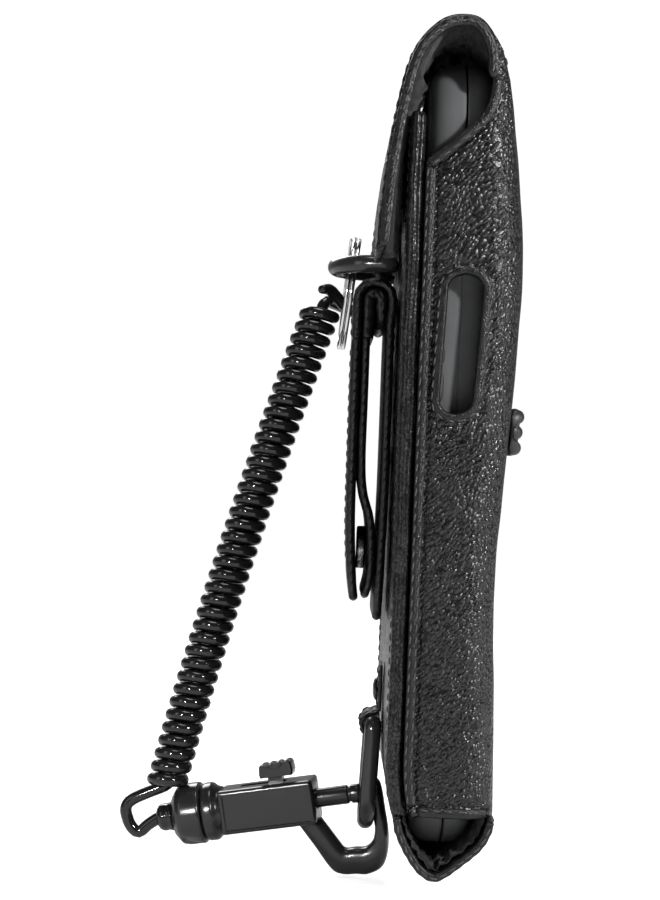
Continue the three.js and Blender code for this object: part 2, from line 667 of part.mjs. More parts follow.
// ---- The lanyard -----------------------------------------------------------------------------------
function splitRing() {
  const { radius, wire, pitch } = SPLIT_RING;
  const curve = new THREE.Curve();
  curve.getPoint = (t, target = new THREE.Vector3()) => {
    const angle = 4 * Math.PI * t;
    return target.set(pitch * (2 * t - 1), radius * Math.sin(angle), radius * Math.cos(angle));
  };
  const ring = tube(curve, wire, 64, 6);
  ring.rotateY(SPLIT_RING_LEAN);
  ring.translate(SPLIT_RING.depth, SPLIT_RING.across, SPLIT_RING.height);
  return ring;
}

function helixPoints() {
  const spine = new THREE.QuadraticBezierCurve3(COIL_TOP, COIL_BOW, COIL_BOTTOM);
  const count = COIL.turns * COIL.sidesPerTurn;
  return Array.from({ length: count + 1 }, (_, i) => {
    const t = i / count;
    const along = spine.getTangent(t);
    const side = new THREE.Vector3(0, 1, 0).cross(along).normalize();
    const width = along.clone().cross(side);
    const angle = 2 * Math.PI * COIL.turns * t + Math.PI / 2;
    return spine.getPoint(t)
      .addScaledVector(side, COIL.radius * Math.cos(angle))
      .addScaledVector(width, COIL.radius * Math.sin(angle));
  });
}

// The cord's free end, its loop through the split ring, the coil, the lower loop and the end in the cap.
function coilCord(frame) {
  const upperLoop = [
    [-17.6, 12.8, 125], [-15.6, 15.2, 125.2], [-13.6, 17.2, 123.4], [-11.6, 18.4, 121.4], [-9, 21.2, 120.2],
    [-9.5, 24, 120.8], [-12.5, 24.3, 121.9], [-15, 22, 122.6], [-16.6, 19.9, 122.6],
  ].map((p) => new THREE.Vector3(...p));
  const inCap = [
    [-32.4, -0.4, 4.6], [-33.4, -0.4, 0.6], [-31.6, -0.2, -2.6], [-28.8, 0, -1.2],
    [-26, 0, 0], [-23, 0, 0], [-19, 0, 0],
  ].map((p) => new THREE.Vector3(...p).applyMatrix4(frame.matrix));
  const path = new THREE.CatmullRomCurve3([...upperLoop, ...helixPoints(), ...inCap], false, 'centripetal');
  path.arcLengthDivisions = 4000;
  return tube(path, CORD, 430, 6);
}

function buildLanyard(root, frame) {
  piece(root, 'split_ring', splitRing(), CHROME);
  piece(root, 'coil_cord', coilCord(frame), CORD_PLASTIC);
}

// ---- The handheld inside ---------------------------------------------------------------------------
function slab(inset) {
  const { rear, front, low, high, halfWidth, corner } = DEVICE;
  const bevelX = 7 - inset * 0.6;
  const bevelZ = 8 - inset * 0.6;
  const half = halfWidth - inset - bevelZ;
  const bottom = low + inset + bevelZ;
  const top = high - inset - bevelZ;
  const r = corner - bevelZ + 1;
  const corners = [
    ...arcRun(half - r, top - r, r, 0, 90, 3),
    ...arcRun(-half + r, top - r, r, 90, 180, 3),
    ...arcRun(-half + r, bottom + r, r, 180, 270, 3),
    ...arcRun(half - r, bottom + r, r, 270, 360, 3),
  ];
  const depth = front - rear - 2 * (inset + bevelX);
  const settings = { depth, bevelThickness: bevelX, bevelSize: bevelZ, bevelSegments: 4 };
  const body = new THREE.ExtrudeGeometry(outline(corners), settings);
  body.applyMatrix4(new THREE.Matrix4().makeBasis(
    new THREE.Vector3(0, 1, 0),
    new THREE.Vector3(0, 0, 1),
    new THREE.Vector3(1, 0, 0),
  ));
  body.translate(rear + inset + bevelX, 0, 0);
  return body;
}

function keyBlock(key, grow) {
  const y = -DEVICE.halfWidth - KEY.proud;
  const half = key.length / 2 + grow;
  const wide = KEY.halfWidth + grow;
  const shape = new THREE.Shape();
  shape.absellipse(KEY.depth, key.height, wide, half, 0, 2 * Math.PI);
  return across(shape, y, -DEVICE.halfWidth + KEY.sunk + grow * 2.4, 5);
}

function buildDevice(root) {
  const frame = new THREE.Group();
  const pivot = (DEVICE.low + DEVICE.high) / 2;
  const shell = cut(slab(0), slab(DEVICE_WALL), ...KEYS.map((key) => keyBlock(key, 0.3)));
  const rearHalf = common(shell, block(-10, DEVICE.parting - GAP / 2, -BEYOND, BEYOND, -10, 200));
  const frontHalf = common(shell, block(DEVICE.parting + GAP / 2, 40, -BEYOND, BEYOND, -10, 200));
  for (const geometry of [rearHalf, frontHalf]) {
    geometry.translate(0, 0, -pivot);
    geometry.rotateY(DEVICE_LEAN);
    geometry.translate(0, 0, pivot);
  }
  piece(frame, 'device_rear_shell', rearHalf, GREY_SHELL);
  piece(frame, 'device_front_shell', frontHalf, GREY_SHELL);
  for (const key of KEYS) {
    piece(frame, key.name, keyBlock(key, 0), RUBBER);
  }
  root.add(frame);
}

// ---- Assembly --------------------------------------------------------------------------------------
const beltCase = new THREE.Group();
const placed = new THREE.Group();
placed.position.set(-BELT_FACE_DEPTH, 0, -BELT_CENTRE_HEIGHT);
beltCase.add(placed);
buildBody(placed);
buildFlap(placed);
buildStrap(placed);
buildRings(placed);
buildLanyard(placed, buildHook(placed));
buildDevice(placed);

export default beltCase;
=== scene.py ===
"""A tall belt case of black pebbled leather with its coiled lanyard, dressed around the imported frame.

Points are built as (depth, across, height) in millimetres: depth from the back panel's outer face towards the
front, across towards the far side, and height from the lowest leather. solid() turns them into the frame's metres.
"""
import json
import math

import bpy
import numpy as np
from mathutils import Matrix, Vector, noise

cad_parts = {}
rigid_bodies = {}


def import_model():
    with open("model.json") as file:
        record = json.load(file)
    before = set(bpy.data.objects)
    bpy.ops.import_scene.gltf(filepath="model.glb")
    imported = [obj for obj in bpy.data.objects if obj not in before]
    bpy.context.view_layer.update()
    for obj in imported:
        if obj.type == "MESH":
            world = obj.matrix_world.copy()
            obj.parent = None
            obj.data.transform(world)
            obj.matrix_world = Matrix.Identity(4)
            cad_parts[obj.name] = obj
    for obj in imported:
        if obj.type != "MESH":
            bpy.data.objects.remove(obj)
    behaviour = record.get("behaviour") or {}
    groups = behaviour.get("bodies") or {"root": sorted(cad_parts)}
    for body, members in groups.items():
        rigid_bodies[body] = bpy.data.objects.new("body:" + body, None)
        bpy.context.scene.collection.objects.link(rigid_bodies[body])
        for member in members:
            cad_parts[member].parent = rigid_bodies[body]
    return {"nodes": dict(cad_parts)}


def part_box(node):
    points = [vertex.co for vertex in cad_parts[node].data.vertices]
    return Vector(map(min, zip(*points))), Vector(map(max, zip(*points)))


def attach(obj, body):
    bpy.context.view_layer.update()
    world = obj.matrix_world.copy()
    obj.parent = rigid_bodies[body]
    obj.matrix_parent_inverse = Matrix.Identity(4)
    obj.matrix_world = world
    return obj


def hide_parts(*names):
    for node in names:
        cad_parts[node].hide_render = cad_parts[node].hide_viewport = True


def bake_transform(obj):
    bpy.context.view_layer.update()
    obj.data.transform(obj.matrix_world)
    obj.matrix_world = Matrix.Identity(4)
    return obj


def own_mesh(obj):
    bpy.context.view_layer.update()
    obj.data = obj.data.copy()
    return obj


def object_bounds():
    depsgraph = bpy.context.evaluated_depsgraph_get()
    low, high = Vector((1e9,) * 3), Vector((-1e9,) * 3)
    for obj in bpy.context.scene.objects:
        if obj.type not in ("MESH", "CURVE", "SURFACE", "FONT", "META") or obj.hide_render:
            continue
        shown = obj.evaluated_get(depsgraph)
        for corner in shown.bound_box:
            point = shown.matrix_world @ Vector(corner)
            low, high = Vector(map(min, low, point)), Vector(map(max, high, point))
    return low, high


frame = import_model()
cad_low, cad_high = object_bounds()

MM = 0.001
BELT_CENTRE_HEIGHT = 95.0
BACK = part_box("back_panel")[0].x
LOW = -BELT_CENTRE_HEIGHT * MM

# ---- Driving dimensions, in millimetres ------------------------------------------------------------
HALF_WIDTH = 44.6
LEATHER = 1.5
WRAP_REAR = 3.4
WRAP_LOW = 13.0
FRONT_NOMINAL = 22.0
FRONT_HEIGHTS = [13, 32, 51, 70, 89, 108, 127, 146, 166]
FRONT_DEPTHS = [22.6, 22.1, 21.3, 21.5, 22.8, 24.05, 24.35, 23.1, 20.15]
TOP_EDGE = [(3.4, 147.9), (9.6, 153.2), (14.2, 157.2), (16.6, 160.6), (18.2, 165.6)]
WINDOW_DEPTH, WINDOW_HEIGHT = 11.0, 110.4
WINDOW_HALF_WIDTH, WINDOW_HALF_LENGTH, WINDOW_LEAN = 3.0, 14.4, 0.03
PANEL_TOP, PANEL_BEND, PANEL_BEND_DEPTH = 158.0, 24.0, 1.5
FLAP_RUN = [(20.3, 165.1), (18.7, 171), (14.6, 176.8), (10.5, 178.3), (5, 176.7),
            (-0.2, 170.6), (-2.9, 160.5), (-4.5, 150.2), (-5.6, 139.3), (-6.3, 128.2)]
FLAP_END = 128.2
ARCH_HALF_WIDTH, ARCH_HEIGHT = 25.0, 10.5
FOOT_RUN = [(22.6, 13), (21.8, 9.9), (19.8, 6.6), (15.4, 2.8), (12.4, 0.6), (10.5, 0),
            (8.6, 0.6), (6.3, 2.6), (3.7, 6.6), (2.2, 10), (1.6, 13)]
STITCH_PITCH = 2.5
STITCH_LENGTH = 1.75
THREAD = 0.2


# ---- Small numeric helpers -------------------------------------------------------------------------
def smoothstep(value, low, high):
    t = np.clip((value - low) / (high - low), 0, 1)
    return t * t * (3 - 2 * t)


def smooth_curve(points, count, closed=False):
    """An evenly spaced run of count points on a Catmull-Rom curve through the given points."""
    p = np.array(points, float)
    if closed:
        p = np.vstack([p[-1], p, p[0], p[1]])
    else:
        p = np.vstack([2 * p[0] - p[1], p, 2 * p[-1] - p[-2]])
    pieces = []
    steps = np.linspace(0, 1, 24, endpoint=False)[:, None]
    for a, b, c, d in zip(p, p[1:], p[2:], p[3:]):
        pieces.append(0.5 * (2 * b + (c - a) * steps + (2 * a - 5 * b + 4 * c - d) * steps ** 2
                             + (3 * b - a - 3 * c + d) * steps ** 3))
    dense = np.vstack(pieces + [p[-2][None]])
    return spaced(dense, count, closed)


def spaced(dense, count, closed=False):
    """The same run of points, resampled at equal spacing."""
    gaps = np.linalg.norm(np.diff(dense, axis=0), axis=1)
    length = np.concatenate([[0], np.cumsum(gaps)])
    wanted = np.linspace(0, length[-1], count, endpoint=not closed)
    return np.stack([np.interp(wanted, length, dense[:, k]) for k in range(dense.shape[1])], axis=1)


def run_length(points):
    return float(np.linalg.norm(np.diff(points, axis=0), axis=1).sum())


def unit(vectors):
    return vectors / np.maximum(np.linalg.norm(vectors, axis=-1, keepdims=True), 1e-9)


def left_of(run):
    """Unit vectors to the left of a flat (depth, height) run, seen with depth right and height up."""
    along = unit(np.gradient(run, axis=0))
    return np.stack([-along[:, 1], along[:, 0]], axis=1)


def arc(x, y, radius, start, end, count):
    angle = np.radians(np.linspace(start, end, count))
    return np.stack([x + radius * np.cos(angle), y + radius * np.sin(angle)], axis=1)


def grain_noise(points, scale, seed, octaves=2):
    """Smooth noise of about -1 to 1 at the given size in millimetres."""
    flat = points.reshape(-1, points.shape[-1]) / scale
    out = np.empty(len(flat))
    for i, (x, y, z) in enumerate(flat):
        out[i] = noise.fractal((x + seed, y - seed, z + 2 * seed), 1.0, 2.0, octaves)
    return out.reshape(points.shape[:-1])


def grid_normals(grid):
    du = np.gradient(grid, axis=0)
    dv = np.gradient(grid, axis=1)
    return unit(np.cross(du, dv))


def edge_round(count, spacing, radius, first=True, last=True):
    """How full a sheet is at each row: below 1 within radius of an end that is rounded."""
    place = np.arange(count) * spacing
    full = np.ones(count)
    for wanted, distance in ((first, place), (last, place[::-1])):
        if wanted:
            t = np.clip(distance / radius, 0, 1)
            full = np.minimum(full, np.sqrt(np.clip(1 - (1 - t) ** 2, 0, 1)))
    return np.maximum(full, 0.3)


# ---- Turning points into pieces --------------------------------------------------------------------
def solid(name, points, faces, material, smooth=True):
    """A mesh object from points in case millimetres."""
    place = np.asarray(points, float).reshape(-1, 3) * MM + np.array([BACK, 0, LOW])
    mesh = bpy.data.meshes.new(name)
    mesh.from_pydata(place.tolist(), [], [tuple(int(i) for i in f) for f in faces])
    mesh.validate()
    if smooth:
        mesh.polygons.foreach_set("use_smooth", [True] * len(mesh.polygons))
    mesh.materials.append(material)
    mesh.update()
    made = bpy.data.objects.new(name, mesh)
    bpy.context.scene.collection.objects.link(made)
    return made


def fit(made, body, slot, *nodes):
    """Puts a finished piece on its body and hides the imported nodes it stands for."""
    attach(made, body)
    return stands_for(made, slot, *nodes)


def stands_for(made, slot, *nodes):
    if nodes:
        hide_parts(*nodes)
    return made


def quads(index):
    a, b, c, d = index[:-1, :-1], index[1:, :-1], index[1:, 1:], index[:-1, 1:]
    return np.stack([a, b, c, d], axis=-1).reshape(-1, 4)


def shell_faces(rows, columns, closed=False):
    """Faces of a closed skin: an outer grid, then an inner grid of the same size, joined round their rims."""
    outer = np.arange(rows * columns).reshape(rows, columns)
    if closed:
        outer = np.vstack([outer, outer[:1]])
    inner = outer + rows * columns
    faces = [quads(outer), quads(inner)[:, ::-1]]
    faces.append(np.stack([outer[:-1, 0], inner[:-1, 0], inner[1:, 0], outer[1:, 0]], axis=-1))
    faces.append(np.stack([outer[1:, -1], inner[1:, -1], inner[:-1, -1], outer[:-1, -1]], axis=-1))
    if not closed:
        faces.append(np.stack([outer[0, 1:], inner[0, 1:], inner[0, :-1], outer[0, :-1]], axis=-1))
        faces.append(np.stack([outer[-1, :-1], inner[-1, :-1], inner[-1, 1:], outer[-1, 1:]], axis=-1))
    return np.vstack(faces)


def shell(name, outer, inner, material):
    rows, columns = outer.shape[:2]
    points = np.concatenate([outer.reshape(-1, 3), inner.reshape(-1, 3)])
    return face_out(solid(name, points, shell_faces(rows, columns), material))


def face_out(made):
    """Turns the faces of a closed piece outwards if its signed volume says they point in."""
    mesh = made.data
    mesh.calc_loop_triangles()
    co = np.array([v.co for v in mesh.vertices])
    tris = np.array([t.vertices for t in mesh.loop_triangles])
    a, b, c = (co[tris[:, k]] - co.mean(0) for k in range(3))
    if np.einsum("ij,ij->i", a, np.cross(b, c)).sum() < 0:
        mesh.flip_normals()
    return made


def sweep(name, path, section, material, sideways, closed=False, scale=None, turn=None):
    """Carries a closed flat section along a path. sideways is the direction of the section's first axis."""
    path = np.asarray(path, float)
    if closed:
        along = unit(np.roll(path, -1, axis=0) - np.roll(path, 1, axis=0))
    else:
        along = unit(np.gradient(path, axis=0))
    first = np.broadcast_to(np.asarray(sideways, float), path.shape)
    first = unit(first - (first * along).sum(1, keepdims=True) * along)
    second = np.cross(along, first)
    section = np.asarray(section, float)
    size = np.ones(len(path)) if scale is None else np.asarray(scale, float)
    if turn is not None:
        cos, sin = np.cos(turn)[:, None], np.sin(turn)[:, None]
        first, second = first * cos + second * sin, second * cos - first * sin
    rings = (path[:, None] + (section[None, :, :1] * first[:, None] + section[None, :, 1:] * second[:, None])
             * size[:, None, None])
    return loft(name, rings, material, closed)


def loft(name, rings, material, closed=False):
    """A closed skin through rings of points, with its ends capped unless the rings join up."""
    rows, columns = rings.shape[:2]
    index = np.arange(rows * columns).reshape(rows, columns)
    index = np.hstack([index, index[:, :1]])
    if closed:
        index = np.vstack([index, index[:1]])
    faces = [tuple(f) for f in quads(index)]
    points = rings.reshape(-1, 3)
    if not closed:
        points = np.vstack([points, rings[0].mean(0), rings[-1].mean(0)])
        first, last = rows * columns, rows * columns + 1
        faces += [(index[0, i], index[0, i + 1], first) for i in range(columns)]
        faces += [(index[-1, i + 1], index[-1, i], last) for i in range(columns)]
    return face_out(solid(name, points, faces, material))


def ring_section(radius, sides=14, flat=1.0):
    angle = np.linspace(0, 2 * np.pi, sides, endpoint=False)
    return np.stack([radius * np.cos(angle), radius * flat * np.sin(angle)], axis=1)


def rounded_section(half_x, half_y, power=4.0, sides=28):
    """A rounded rectangle as a superellipse."""
    angle = np.linspace(0, 2 * np.pi, sides, endpoint=False)
    c, s = np.cos(angle), np.sin(angle)
    return np.stack([half_x * np.sign(c) * np.abs(c) ** (2 / power),
                     half_y * np.sign(s) * np.abs(s) ** (2 / power)], axis=1)


def stitches(name, path, outward, body, pitch=STITCH_PITCH, slant=0.12, sunk=0.3):
    """A row of lock stitches: short lengths of thread that dip into the leather at both ends."""
    path = np.asarray(path, float)
    outward = np.broadcast_to(np.asarray(outward, float), path.shape)
    count = max(2, int(run_length(path) / pitch))
    sides, lengths = 6, 7
    places = spaced(np.hstack([path, outward]), count * 2 + 1)
    along_all = unit(np.gradient(places[:, :3], axis=0))
    points, faces = [], []
    for i in range(count):
        centre, out, along = places[2 * i + 1, :3], unit(places[2 * i + 1, 3:]), along_all[2 * i + 1]
        side = np.cross(along, out)
        along = unit(along + slant * side)
        side = np.cross(along, out)
        start = len(points)
        for k in range(lengths):
            t = -1 + 2 * k / (lengths - 1)
            thick = THREAD * (0.35 + 0.65 * math.sqrt(max(0.0, 1 - t ** 4)))
            middle = centre + along * t * STITCH_LENGTH / 2 + out * (THREAD * (1 - sunk) - 0.42 * THREAD * 2 * t ** 4)
            for j in range(sides):
                a = 2 * math.pi * j / sides
                points.append(middle + thick * (math.cos(a) * side + math.sin(a) * out))
        for k in range(lengths - 1):
            for j in range(sides):
                a, b = start + k * sides + j, start + k * sides + (j + 1) % sides
                faces.append((a, b, b + sides, a + sides))
        faces.append(tuple(start + j for j in reversed(range(sides))))
        faces.append(tuple(start + (lengths - 1) * sides + j for j in range(sides)))
    made = face_out(solid(name, np.array(points), faces, THREAD_BLACK))
    if body:
        fit(made, body, "smooth_leather")
    return made


# ---- Materials -------------------------------------------------------------------------------------
class Look:
    """A node material under construction: the coordinates are the object's own, in metres."""

    def __init__(self, name, roughness=0.5, metallic=0.0, specular=0.5):
        self.material = bpy.data.materials.new(name)
        self.material.use_nodes = True
        self.tree = self.material.node_tree
        self.base = self.tree.nodes["Principled BSDF"]
        self.set("Roughness", roughness)
        self.set("Metallic", metallic)
        self.set("Specular IOR Level", specular)
        self.place = self.add("ShaderNodeTexCoord").outputs["Object"]

    def add(self, kind, **values):
        node = self.tree.nodes.new(kind)
        for key, value in values.items():
            setattr(node, key, value)
        return node

    def set(self, name, value):
        self.base.inputs[name].default_value = value

    def join(self, output, target):
        self.tree.links.new(output, target)

    def mapped(self, size_mm, stretch=(1, 1, 1), turn=(0, 0, 0), source=None):
        """Coordinates turned, then divided by a size in millimetres."""
        node = self.add("ShaderNodeMapping", vector_type="TEXTURE")
        node.inputs["Rotation"].default_value = [math.radians(a) for a in turn]
        node.inputs["Scale"].default_value = [size_mm * MM * s for s in stretch]
        self.join(source or self.place, node.inputs["Vector"])
        return node.outputs["Vector"]

    def warped(self, amount_mm, size_mm):
        """The object's coordinates, pushed about by slow noise."""
        cloud = self.add("ShaderNodeTexNoise")
        cloud.inputs["Scale"].default_value = 1
        cloud.inputs["Detail"].default_value = 1
        self.join(self.mapped(size_mm), cloud.inputs["Vector"])
        push = self.add("ShaderNodeVectorMath", operation="MULTIPLY_ADD")
        push.inputs[1].default_value = [amount_mm * MM] * 3
        self.join(cloud.outputs["Color"], push.inputs[0])
        self.join(self.place, push.inputs[2])
        return push.outputs["Vector"]

    def noise(self, source, detail=3, roughness=0.55):
        node = self.add("ShaderNodeTexNoise")
        node.inputs["Scale"].default_value = 1
        node.inputs["Detail"].default_value = detail
        node.inputs["Roughness"].default_value = roughness
        self.join(source, node.inputs["Vector"])
        return node.outputs["Fac"]

    def domes(self, source):
        """The distance from the middle of the nearest cell."""
        node = self.add("ShaderNodeTexVoronoi", feature="SMOOTH_F1")
        node.inputs["Scale"].default_value = 1
        node.inputs["Smoothness"].default_value = 0.12
        self.join(source, node.inputs["Vector"])
        return node.outputs["Distance"]

    def cells(self, source):
        node = self.add("ShaderNodeTexVoronoi", feature="DISTANCE_TO_EDGE")
        node.inputs["Scale"].default_value = 1
        self.join(source, node.inputs["Vector"])
        return node.outputs["Distance"]

    def middle_share(self, low_mm, high_mm):
        """1 in the middle of the case's width, falling to 0 between these distances across."""
        split = self.add("ShaderNodeSeparateXYZ")
        self.join(self.place, split.inputs[0])
        return self.between(self.math("ABSOLUTE", split.outputs["Y"], 0.0), low_mm * MM, high_mm * MM, 1.0, 0.0)

    def between(self, source, low, high, to_low, to_high, smooth=True):
        node = self.add("ShaderNodeMapRange")
        if smooth:
            node.interpolation_type = "SMOOTHSTEP"
        for key, value in zip(("From Min", "From Max", "To Min", "To Max"), (low, high, to_low, to_high)):
            node.inputs[key].default_value = value
        self.join(source, node.inputs["Value"])
        return node.outputs["Result"]

    def math(self, operation, first, second):
        node = self.add("ShaderNodeMath", operation=operation)
        for value, target in ((first, node.inputs[0]), (second, node.inputs[1])):
            if isinstance(value, (int, float)):
                target.default_value = value
            else:
                self.join(value, target)
        return node.outputs["Value"]

    def colour(self, source, *stops):
        """A colour ramp of (place, grey or (r, g, b)) stops, in linear light."""
        node = self.add("ShaderNodeValToRGB")
        ramp = node.color_ramp
        while len(ramp.elements) < len(stops):
            ramp.elements.new(1.0)
        for element, (place, value) in zip(ramp.elements, stops):
            element.position = place
            rgb = (value, value, value) if isinstance(value, float) else value
            element.color = (*rgb, 1)
        self.join(source, node.inputs["Fac"])
        self.join(node.outputs["Color"], self.base.inputs["Base Color"])

    def bump(self, height, depth_mm, strength=1.0):
        node = self.add("ShaderNodeBump")
        node.inputs["Strength"].default_value = strength
        node.inputs["Distance"].default_value = depth_mm * MM
        self.join(height, node.inputs["Height"])
        last = self.base.inputs["Normal"]
        if last.is_linked:
            self.join(last.links[0].from_socket, node.inputs["Normal"])
        self.join(node.outputs["Normal"], last)


def pebbled_look(name, pebble_mm, depth_mm, turn, stretch=(1, 1, 1.7), tops=0.0115, shine=0.23, plain_from=None):
    """Tumbled leather: rounded pebbles with painted shade in the creases and folds, pressed smooth and darker beyond
    plain_from across the case.
    """
    look = Look(name)
    source = look.warped(3.0, 9.0)
    mapped = look.mapped(pebble_mm, stretch, turn, source)
    rounded = look.between(look.domes(mapped), 0.0, 0.75, 1.0, 0.0)
    gaps = look.between(look.cells(mapped), 0.0, 0.16, 0.0, 1.0)
    creases = look.cells(look.mapped(pebble_mm * 5, (1, 1, 1.7), turn, source))
    folds = look.between(creases, 0.0, 0.1, 0.0, 1.0)
    pores = look.noise(look.mapped(0.35), 2)
    patches = look.noise(look.mapped(7.0), 3)
    height = look.math("ADD", look.math("MULTIPLY", rounded, 0.9), look.math("MULTIPLY", folds, 0.2))
    height = look.math("ADD", height, look.math("MULTIPLY", pores, 0.25))
    # tone: painted shade in the creases between pebbles and along the larger folds, times a random patchy tone
    tone = look.math("MULTIPLY", look.between(gaps, 0.0, 1.0, 0.3, 1.0), look.between(folds, 0.0, 1.0, 0.72, 1.0))
    tone = look.math("MULTIPLY", tone, look.between(patches, 0.3, 0.7, 0.8, 1.0))
    if plain_from:
        pressed = look.middle_share(plain_from, plain_from + 0.8)
        height = look.math("MULTIPLY", height, look.between(pressed, 0.0, 1.0, 0.22, 1.0))
        tone = look.math("MULTIPLY", tone, look.between(pressed, 0.0, 1.0, 0.6, 1.0))
    look.bump(height, depth_mm)
    look.colour(tone, (0.0, tops * 0.1), (0.5, tops * 0.6), (1.0, tops))
    look.join(look.between(patches, 0.3, 0.7, shine, shine + 0.1), look.base.inputs["Roughness"])
    look.join(look.between(tone, 0.1, 0.6, 0.12, 0.6), look.base.inputs["Specular IOR Level"])
    return look.material


def smooth_leather_look(name, tone=0.0075, shine=0.3, depth_mm=0.05):
    """Finished edge leather: fine short grain, faint creases and a little wear."""
    look = Look(name)
    fine = look.cells(look.mapped(0.42, (1, 1, 1.7), (0, 25, 0), look.warped(1.5, 6.0)))
    fine = look.between(fine, 0.0, 0.3, 0.0, 1.0)
    scuffs = look.noise(look.mapped(2.2), 4)
    patches = look.noise(look.mapped(6.0), 2)
    height = look.math("ADD", look.math("MULTIPLY", fine, 0.5), look.math("MULTIPLY", scuffs, 1.0))
    look.bump(height, depth_mm)
    look.colour(look.math("ADD", look.math("MULTIPLY", fine, 0.3), look.math("MULTIPLY", patches, 0.6)),
                (0.15, tone * 0.45), (0.5, tone * 0.85), (0.85, tone * 1.35))
    look.join(look.between(scuffs, 0.3, 0.7, shine, shine + 0.16), look.base.inputs["Roughness"])
    return look.material


def lining_look():
    look = Look("lining_fabric", specular=0.35)
    weave = look.add("ShaderNodeTexMagic", turbulence_depth=1)
    weave.inputs["Scale"].default_value = 1
    look.join(look.mapped(0.12), weave.inputs["Vector"])
    folds = look.noise(look.mapped(3.0, (1, 1, 2)), 4)
    look.bump(look.math("ADD", look.math("MULTIPLY", weave.outputs["Fac"], 0.15), folds), 0.25)
    # Colour follows the fold height: painted shade in the troughs and painted light on the crests.
    look.colour(folds, (0.3, 0.003), (0.55, 0.009), (0.8, 0.023))
    look.join(look.between(folds, 0.35, 0.7, 0.72, 0.5), look.base.inputs["Roughness"])
    look.set("Sheen Weight", 0.15)
    return look.material


def moulded_look(name, tone, roughness, speckle_mm=0.22, depth_mm=0.012, specular=0.5, tint=(1, 1, 1)):
    """Moulded plastic: spark texture, slow tone changes and slightly uneven gloss."""
    look = Look(name, specular=specular)
    spark = look.noise(look.mapped(speckle_mm), 2)
    slow = look.noise(look.mapped(11.0), 3)
    look.bump(spark, depth_mm)
    shades = [tuple(tone * factor * c for c in tint) for factor in (0.86, 1.0, 1.12)]
    look.colour(look.math("ADD", look.math("MULTIPLY", slow, 0.8), look.math("MULTIPLY", spark, 0.2)),
                (0.3, shades[0]), (0.5, shades[1]), (0.72, shades[2]))
    look.join(look.between(slow, 0.3, 0.7, roughness * 0.88, roughness * 1.14), look.base.inputs["Roughness"])
    return look.material


def metal_look(name, tone, roughness, scratch_mm=0.3):
    look = Look(name, metallic=1.0)
    lines = look.noise(look.mapped(scratch_mm, (1, 1, 9)), 3)
    slow = look.noise(look.mapped(5.0), 2)
    look.bump(lines, 0.006)
    look.colour(slow, (0.3, tone * 0.8), (0.7, tone))
    look.join(look.between(lines, 0.35, 0.65, roughness * 0.75, roughness * 1.3), look.base.inputs["Roughness"])
    return look.material


def thread_look():
    look = Look("thread", specular=0.6)
    twist = look.add("ShaderNodeTexWave", wave_type="BANDS", bands_direction="DIAGONAL")
    twist.inputs["Scale"].default_value = 1
    look.join(look.mapped(0.9), twist.inputs["Vector"])
    look.bump(twist.outputs["Fac"], 0.05)
    # Colour follows the twist bands of the bump: painted light on the ridges and painted shade between them.
    look.colour(twist.outputs["Fac"], (0.2, 0.025), (0.8, 0.085))
    look.set("Roughness", 0.42)
    return look.material


PEBBLED = pebbled_look("pebbled_leather", 0.72, 0.26, (0, 38, 0))
# The back panel is the same black leather as the wrap, with tops 2.4 times lighter: a lit copy, painted light.
PEBBLED_PANEL = pebbled_look("pebbled_leather_panel", 0.66, 0.22, (0, 10, 20), stretch=(1, 1, 1.4), tops=0.028,
                             plain_from=41.4)
SMOOTH = smooth_leather_look("smooth_leather")
EDGE = smooth_leather_look("folded_edge_leather", 0.006, 0.29, 0.08)
LINING = lining_look()
BOARD = moulded_look("stiffener_board", 0.02, 0.8, 0.5, 0.05)
SHELL_GREY = moulded_look("device_plastic", 0.13, 0.7, 0.16, 0.006, 0.25, tint=(0.98, 1.0, 1.02))
KEY_RUBBER = moulded_look("key_rubber", 0.05, 0.55)
BADGE_RUBBER = moulded_look("badge_rubber", 0.02, 0.42)
HOOK_PLASTIC = moulded_look("hook_plastic", 0.0115, 0.21, 0.3, 0.01)
CORD_PLASTIC = moulded_look("cord_plastic", 0.007, 0.1, 0.6, 0.004)
RING_BLACK = moulded_look("black_metal", 0.016, 0.2, 0.35, 0.012)
CHROME = metal_look("chrome_steel", 0.82, 0.09)
STEEL = metal_look("plain_steel", 0.6, 0.28)
THREAD_BLACK = thread_look()


# ---- The leather wrap: two sides and the front -----------------------------------------------------
def front_depth(height):
    """How far forward the front bulges, from the smooth curve through its few set depths."""
    h = np.clip(height, FRONT_HEIGHTS[0], FRONT_HEIGHTS[-1])
    run = smooth_curve(list(zip(FRONT_HEIGHTS, FRONT_DEPTHS)), 160)
    return np.interp(h, run[:, 0], run[:, 1])


def foot_depth(height):
    drop = np.clip(PANEL_BEND - np.asarray(height, float), 0, None) / (PANEL_BEND - WRAP_LOW)
    return PANEL_BEND_DEPTH * drop ** 2


def follow(depth, height):
    """Where an upright case wall of this nominal depth stands at this height."""
    share = smoothstep(depth, WRAP_REAR, FRONT_NOMINAL - LEATHER)
    return depth + foot_depth(height) * (1 - share) + (front_depth(height) - FRONT_NOMINAL) * share


def corner_radius(height):
    return 6.5 - 3.4 * smoothstep(height, 146.0, 166.0)


def top_of(depth):
    edge = np.array(TOP_EDGE)
    return np.interp(depth, edge[:, 0], edge[:, 1])


def plan(share, height):
    """The wrap's plan at a share (0 to 1) of the way round from the near rear edge to the far one."""
    radius = corner_radius(height)
    side = FRONT_NOMINAL - radius - WRAP_REAR
    quarter = radius * math.pi / 2
    half = side + quarter + (HALF_WIDTH - radius)
    mirror = np.where(share > 0.5, 1.0, -1.0)
    s = np.where(share > 0.5, 1 - share, share) * 2 * half
    angle = np.clip((s - side) / radius, 0, math.pi / 2)
    depth = WRAP_REAR + np.minimum(s, side) + radius * np.sin(angle)
    out = HALF_WIDTH - radius + radius * np.cos(angle) - np.clip(s - side - quarter, 0, None)
    return depth, mirror * out, np.sin(angle), mirror * np.cos(angle)


